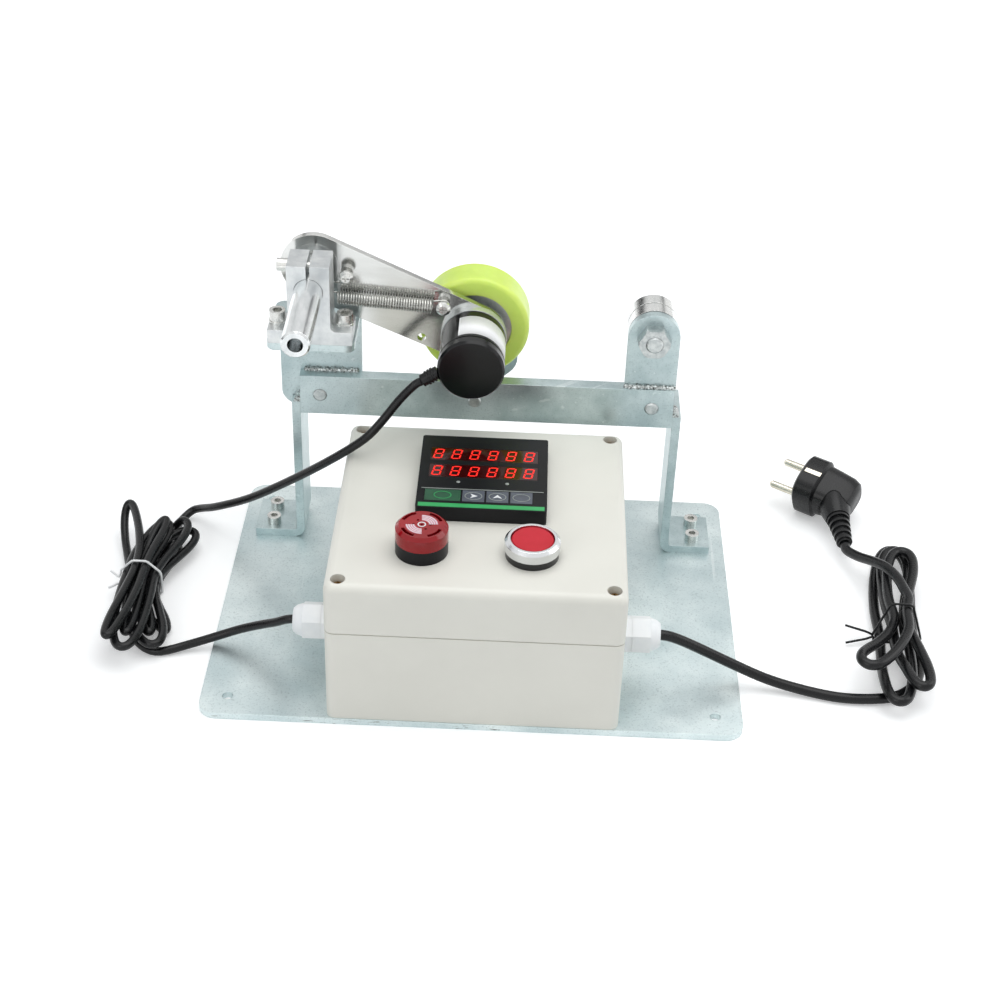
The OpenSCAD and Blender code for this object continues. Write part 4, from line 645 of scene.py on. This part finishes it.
s, z = thin["step"], thin["low"]
sensorTieLine = tieRoute(thin["waist"], [
    (-1.5 * s, z + 2 * s, 180, 135), (-0.5 * s, z + 3 * s, 135, 90), (0.5 * s, z + 3 * s, 90, 45),
    (1.5 * s, z + 2 * s, 45, 0), (1.5 * s, z, 0, -90), (-1.5 * s, z, -90, -180)], 3.6, 7)
s, z = thick["step"], thick["low"]
powerTieLine = tieRoute(thick["waist"], [
    (-1.5 * s, z, 180, 161.6), (-0.5 * s, z + 3 * s, 161.6, 90), (0.5 * s, z + 3 * s, 90, 18.4),
    (1.5 * s, z, 18.4, -90), (-1.5 * s, z, -90, -180)], 4, 16)
# coated paper round a wire: white and dull
whiteTie = plainSurface("whitePaperTie", {
    "IOR": 1.5, "patch": 4, "grain": 0.5, "depth": 0.02, "rough": (0.45, 0.55),
    "colours": ("#e6e8e8", "#f1f2f2")})
sensorTie = makePiece("sensorTie", *tubeMesh(sensorTieLine, tie["r"], tie["sides"]), whiteTie, "frame")
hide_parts("sensor_tie")
powerTie = makePiece("powerTie", *tubeMesh(powerTieLine, tie["r"], tie["sides"]), softPvc, "frame")
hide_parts("power_tie")
print("ties made")

# tension spring: its places are x and z in the plane of the arm, and along and across the arm for the pin
spring = {"pivot": (-99.5, 191), "wheel": (-8.5, 150.8), "y": 53, "coilR": 3.5, "wire": 0.5, "turns": 36,
          "perTurn": 20, "pin": (74.7, 13.3), "anchor": (5, -15.8), "pinR": 2, "clear": 0.3,
          "sides": 8, "hookSteps": 16,
          "coilStart": (13.5, -16.1), "coilEnd": (-6.2, -1.2)}
pivot = Vector(spring["pivot"])
armAway = (Vector(spring["wheel"]) - pivot).normalized()
armUp = Vector((-armAway.y, armAway.x))
pin = pivot + spring["pin"][0] * armAway + spring["pin"][1] * armUp
anchor = pivot + Vector(spring["anchor"])


def hookRound(centre, start):
    # half a turn round a pin, seen from the front
    hook, steps = spring["pinR"] + spring["wire"] + spring["clear"], spring["hookSteps"]
    turns = [math.radians(start - 180 * k / steps) for k in range(steps + 1)]
    return [centre + hook * Vector((math.cos(t), math.sin(t))) for t in turns]


def springLine():
    # hook, coils, hook
    a, b = pivot + Vector(spring["coilStart"]), pin + Vector(spring["coilEnd"])
    along = (b - a).normalized()
    across = Vector((-along.y, along.x))
    y, r, per = spring["y"], spring["coilR"], spring["perTurn"]
    left, right = hookRound(anchor, 270), hookRound(pin, 90)
    begin, end = a + r * across, b + r * across
    lead = [left[0] + Vector((u, 0)) for u in (1.0, 0.5)] + left
    lead += [left[-1].lerp(begin, u) for u in (0.3, 0.6, 0.85)]
    tail = [end.lerp(right[0], u) for u in (0.2, 0.55, 0.8)] + right
    tail += [right[-1] - Vector((u, 0)) for u in (0.5, 1.0)]
    coils, n = [], spring["turns"] * per
    for i in range(n + 1):
        t = 2 * math.pi * i / per
        p = a + along * (b - a).length * i / n + r * math.cos(t) * across
        coils.append(Vector((p.x, y - r * math.sin(t), p.y)))
    return [Vector((p.x, y, p.y)) for p in lead] + coils + [Vector((p.x, y, p.y)) for p in tail]


# drawn spring wire: bright steel, faint lines along it
springSteel = plainSurface("drawnSpringSteel", {
    "Metallic": 1.0, "patch": 3, "grain": 0.6, "depth": 0.004, "rough": (0.2, 0.3),
    "colours": ("#a9aaa6", "#c6c6c1")})
springTube = tubeMesh(springLine(), spring["wire"], spring["sides"])
tensionSpring = makePiece("tensionSpring", *springTube, springSteel, None)
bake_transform(tensionSpring)
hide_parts("tension_spring")
print("spring wound")

# meter face: x0, x1, y0 and y1 of the print, and the middles of the lamps
meter = {"top": 102.9, "film": 0.12, "sunk": 0.02, "stripe": (-33.6, 35.6, -46.2, -42.6),
         "line": (-32.6, 35.0, -28.9, -28.3), "lamps": ((-12.6, -21.6), (14.6, -21.6)),
         "lamp": [(0, -0.05), (1.1, -0.05), (1.1, 0.1), (0.9, 0.16), (0, 0.16)]}

# lit figures: red light behind a red window
ledRed = startMaterial("litRedDigits", {
    "Roughness": 0.4, "Base Color": hexColour("#c81414"), "Emission Color": hexColour("#ff2a1c"),
    "Emission Strength": 0.9})[0]

# screen-printed ink: even colour with a soft sheen, hardly thicker than the film
inkLook = {"IOR": 1.5, "patch": 12, "grain": 0.6, "depth": 0.003, "rough": (0.34, 0.42)}
greenPrint = plainSurface("greenPrint", dict(inkLook, colours=("#2f9d57", "#38a961")))
greyPrint = plainSurface("greyPrint", dict(inkLook, colours=("#8b918d", "#9da39f")))
whitePrint = plainSurface("whitePrint", dict(inkLook, colours=("#dfe2e4", "#eceeee")))
palePinkPrint = plainSurface("palePinkPrint", dict(inkLook, colours=("#cf8f9f", "#d99dab")))


def segmentOutlines(x, y, w, h, lean, t):
    # the seven strokes of one figure eight, leaning to the right
    def at(u, v):
        return (x + u * w + lean * (v - 0.5), y + v * h)
    tx, ty = t / w, t / h
    g = 0.02
    bars = [((g + tx, v0), (1 - g - tx, v0), (1 - g - tx, v0 + ty), (g + tx, v0 + ty))
            for v0 in (0, 0.5 - ty / 2, 1 - ty)]
    low, high = ty * 0.6, 0.5 - ty * 0.6
    posts = [((u0, v0 + low), (u0 + tx, v0 + low), (u0 + tx, v0 + high), (u0, v0 + high))
             for u0 in (0, 1 - tx) for v0 in (0, 0.5)]
    return [[at(*p) for p in shape] for shape in bars + posts]


digits = {"rows": (6.4, -10.6), "height": 9.6, "width": 5.2, "first": -27.6, "pitch": 10.3, "count": 6,
          "lean": 1.6, "stroke": 0.85, "low": 102.79, "high": 102.88}
parts = []
for rowY in digits["rows"]:
    for k in range(digits["count"]):
        for outline in segmentOutlines(digits["first"] + k * digits["pitch"], rowY - digits["height"] / 2,
                                       digits["width"], digits["height"], digits["lean"], digits["stroke"]):
            parts.append(slabMesh(outline, digits["low"], digits["high"]))
makePiece("meterDigits", *joinMeshes(parts), ledRed, "frame", False)


def rectangle(x0, x1, y0, y1):
    return [(x0, y0), (x1, y0), (x1, y1), (x0, y1)]


def ringMesh(x, y, rx, ry, width, low, high, steps=40):
    # a flat oval ring
    verts, faces = [], []
    for r, z in ((0, low), (width, low), (width, high), (0, high)):
        for k in range(steps):
            a = 2 * math.pi * k / steps
            verts.append(vec((x + (rx - r) * math.cos(a), y + (ry - r) * math.sin(a), z)))
    for j in range(4):
        for k in range(steps):
            n, m = (k + 1) % steps, (j + 1) % 4
            faces.append((j * steps + k, j * steps + n, m * steps + n, m * steps + k))
    return verts, faces


top, sunk = meter["top"], meter["sunk"]
for name, place, ink in (("meterStripe", "stripe", greenPrint), ("meterLine", "line", greyPrint)):
    slab = slabMesh(rectangle(*meter[place]), top - sunk, top + meter["film"])
    makePiece(name, *slab, ink, "frame", False)
lamps = [latheMesh(meter["lamp"], (x, y, top), steps=24) for x, y in meter["lamps"]]
makePiece("meterLamps", *joinMeshes(lamps), greyPrint, "frame")
print("meter face printed")

# raised oval on each key, with an arrow on two of them
oval = {"rx": 4.9, "ry": 3.6, "width": 0.45, "sunk": 0.03, "high": 0.1}
arrowHigh = 0.12
arrows = {"key_right": [(-1.7, 2.1), (2.3, 0), (-1.7, -2.1), (-0.7, 0)],
          "key_up": [(-2.6, -1.5), (0, 2.0), (2.6, -1.5), (0, -0.5)]}
keyBodies = {"key_green": "key_one", "key_right": "key_two", "key_up": "key_three", "key_last": "key_four"}
for node, body in keyBodies.items():
    low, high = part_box(node)
    cx, cy, keyTop = (low.x + high.x) / 2 / mm, (low.y + high.y) / 2 / mm, high.z / mm
    ovalRing = ringMesh(cx, cy, oval["rx"], oval["ry"], oval["width"], keyTop - oval["sunk"],
                        keyTop + oval["high"])
    makePiece(node + "_oval", *ovalRing, greenPrint if node == "key_green" else greyPrint, body, False)
    if node in arrows:
        outline = [(cx + x, cy + y) for x, y in arrows[node]]
        makePiece(node + "_arrow", *slabMesh(outline, keyTop - sunk, keyTop + arrowHigh), whitePrint, body,
                  False)

# buzzer print: two fans of arcs round a small ring, and a thin print under them that the red shows through
buzzer = {"middle": (-29.4, -74.8), "top": 111.0, "ring": 2.3, "ringWidth": 0.7, "arcs": (4.2, 5.4, 6.6, 7.8),
          "width": 0.45, "turns": (48, 228), "spreadDegrees": 90, "fan": (3.7, 5.0), "sunk": 0.02,
          "high": 0.08, "fanHigh": 0.04}


def arcOutline(x, y, r, width, start, stop, steps=20):
    turns = [math.radians(start + (stop - start) * k / steps) for k in range(steps + 1)]
    inner, outer = [[(x + d * math.cos(a), y + d * math.sin(a)) for a in turns] for d in (r, r + width)]
    return outer + inner[::-1]


bx, by = buzzer["middle"]
low, high = buzzer["top"] - buzzer["sunk"], buzzer["top"] + buzzer["high"]
half = buzzer["spreadDegrees"] / 2
parts = [ringMesh(bx, by, buzzer["ring"], buzzer["ring"], buzzer["ringWidth"], low, high)]
fans = []
for turn in buzzer["turns"]:
    fans.append(slabMesh(arcOutline(bx, by, *buzzer["fan"], turn - half, turn + half), low,
                         buzzer["top"] + buzzer["fanHigh"]))
    for r in buzzer["arcs"]:
        parts.append(slabMesh(arcOutline(bx, by, r, buzzer["width"], turn - half, turn + half), low, high))
makePiece("buzzerPrint", *joinMeshes(parts), whitePrint, "frame", False)
makePiece("buzzerFans", *joinMeshes(fans), palePinkPrint, "frame", False)
print("small marks placed")


def seenRays(tree):
    # 1 for rays to the camera, straight, off a mirror or through a clear piece
    ray = addNode(tree, "ShaderNodeLightPath")
    seen = ray.outputs["Is Camera Ray"]
    for other in ("Is Glossy Ray", "Is Transmission Ray"):
        seen = addNode(tree, "ShaderNodeMath", {
            "operation": "MAXIMUM", 0: seen, 1: ray.outputs[other]}).outputs[0]
    return seen


# floor: pale, with a glow that only those rays see and that grows away from the set
floorLook = {"half": 4.0, "colour": "#f2f3f3", "lift": 0.3, "near": 0.35, "far": 1.0, "deep": 20,
             "below": 0.05}
material, tree, shader, place = startMaterial("paleFloor", {
    "Roughness": 0.9, "Base Color": hexColour(floorLook["colour"]), "Specular IOR Level": 0.0})
away = addNode(tree, "ShaderNodeVectorMath", {"operation": "LENGTH", 0: place}).outputs["Value"]
lift = addNode(tree, "ShaderNodeMapRange", {
    0: away, 1: floorLook["near"], 2: floorLook["far"], 3: floorLook["lift"]}).outputs[0]
lift = addNode(tree, "ShaderNodeMath", {"operation": "MULTIPLY", 0: lift, 1: seenRays(tree)}).outputs[0]
glow = addNode(tree, "ShaderNodeEmission", {"Color": (1, 1, 1, 1), "Strength": lift})
both = addNode(tree, "ShaderNodeAddShader", {0: shader.outputs[0], 1: glow.outputs[0]})
tree.links.new(both.outputs[0], tree.nodes["Material Output"].inputs["Surface"])
h = floorLook["half"] / mm
floorSlab = slabMesh(rectangle(-h, h, -h, h), -floorLook["deep"], -floorLook["below"])
floor = makePiece("floor", *floorSlab, material, None, False)

# sky: soft daylight on the set, and white behind it
sky = {"light": (0.95, 0.97, 1.0, 1), "strength": 0.5}
world = bpy.data.worlds.new("studio")
bpy.context.scene.world = world
world.use_nodes = True
tree = world.node_tree
tree.nodes.clear()
soft = addNode(tree, "ShaderNodeBackground", {"Color": sky["light"], "Strength": sky["strength"]})
white = addNode(tree, "ShaderNodeBackground", {"Color": (1, 1, 1, 1), "Strength": 1.0})
pick = addNode(tree, "ShaderNodeMixShader", {0: seenRays(tree), 1: soft.outputs[0], 2: white.outputs[0]})
addNode(tree, "ShaderNodeOutputWorld", {"Surface": pick.outputs[0]})

# softboxes: name, place, aim, size and watts
softboxes = [("overheadBox", (0.15, 0.05, 1.3), (0, 0, 0.05), 1.2, 9.5),
             ("frontBox", (-0.9, -1.2, 0.9), (0, 0, 0.08), 0.9, 4.5),
             ("rightBox", (1.3, 0.2, 0.8), (0.05, 0, 0.08), 0.8, 3.5)]
for name, place, aim, size, watts in softboxes:
    data = bpy.data.lights.new(name, "AREA")
    data.size, data.energy = size, watts
    lamp = bpy.data.objects.new(name, data)
    bpy.context.scene.collection.objects.link(lamp)
    lamp.location = place
    lamp.rotation_euler = (Vector(aim) - Vector(place)).to_track_quat("-Z", "Y").to_euler()

# dark panels beside the set, which bright metal reflects and the camera doesn't see: middle and half sides
darkCloth = startMaterial("darkCloth", {
    "Roughness": 1.0, "Base Color": hexColour("#26282a"), "Specular IOR Level": 0.0})[0]
flags = [("leftFlag", (-1500, 100, 450), (0, 350, 0), (0, 0, 450), (5, 0, 0)),
         ("rearFlag", (0, 1500, 500), (700, 0, 0), (0, 0, 250), (0, -5, 0))]
for name, *block in flags:
    flag = makePiece(name, *boxMesh(*block), darkCloth, None, False)
    flag.visible_camera = False

bpy.context.scene.view_settings.view_transform = "Standard"
print("studio lit")
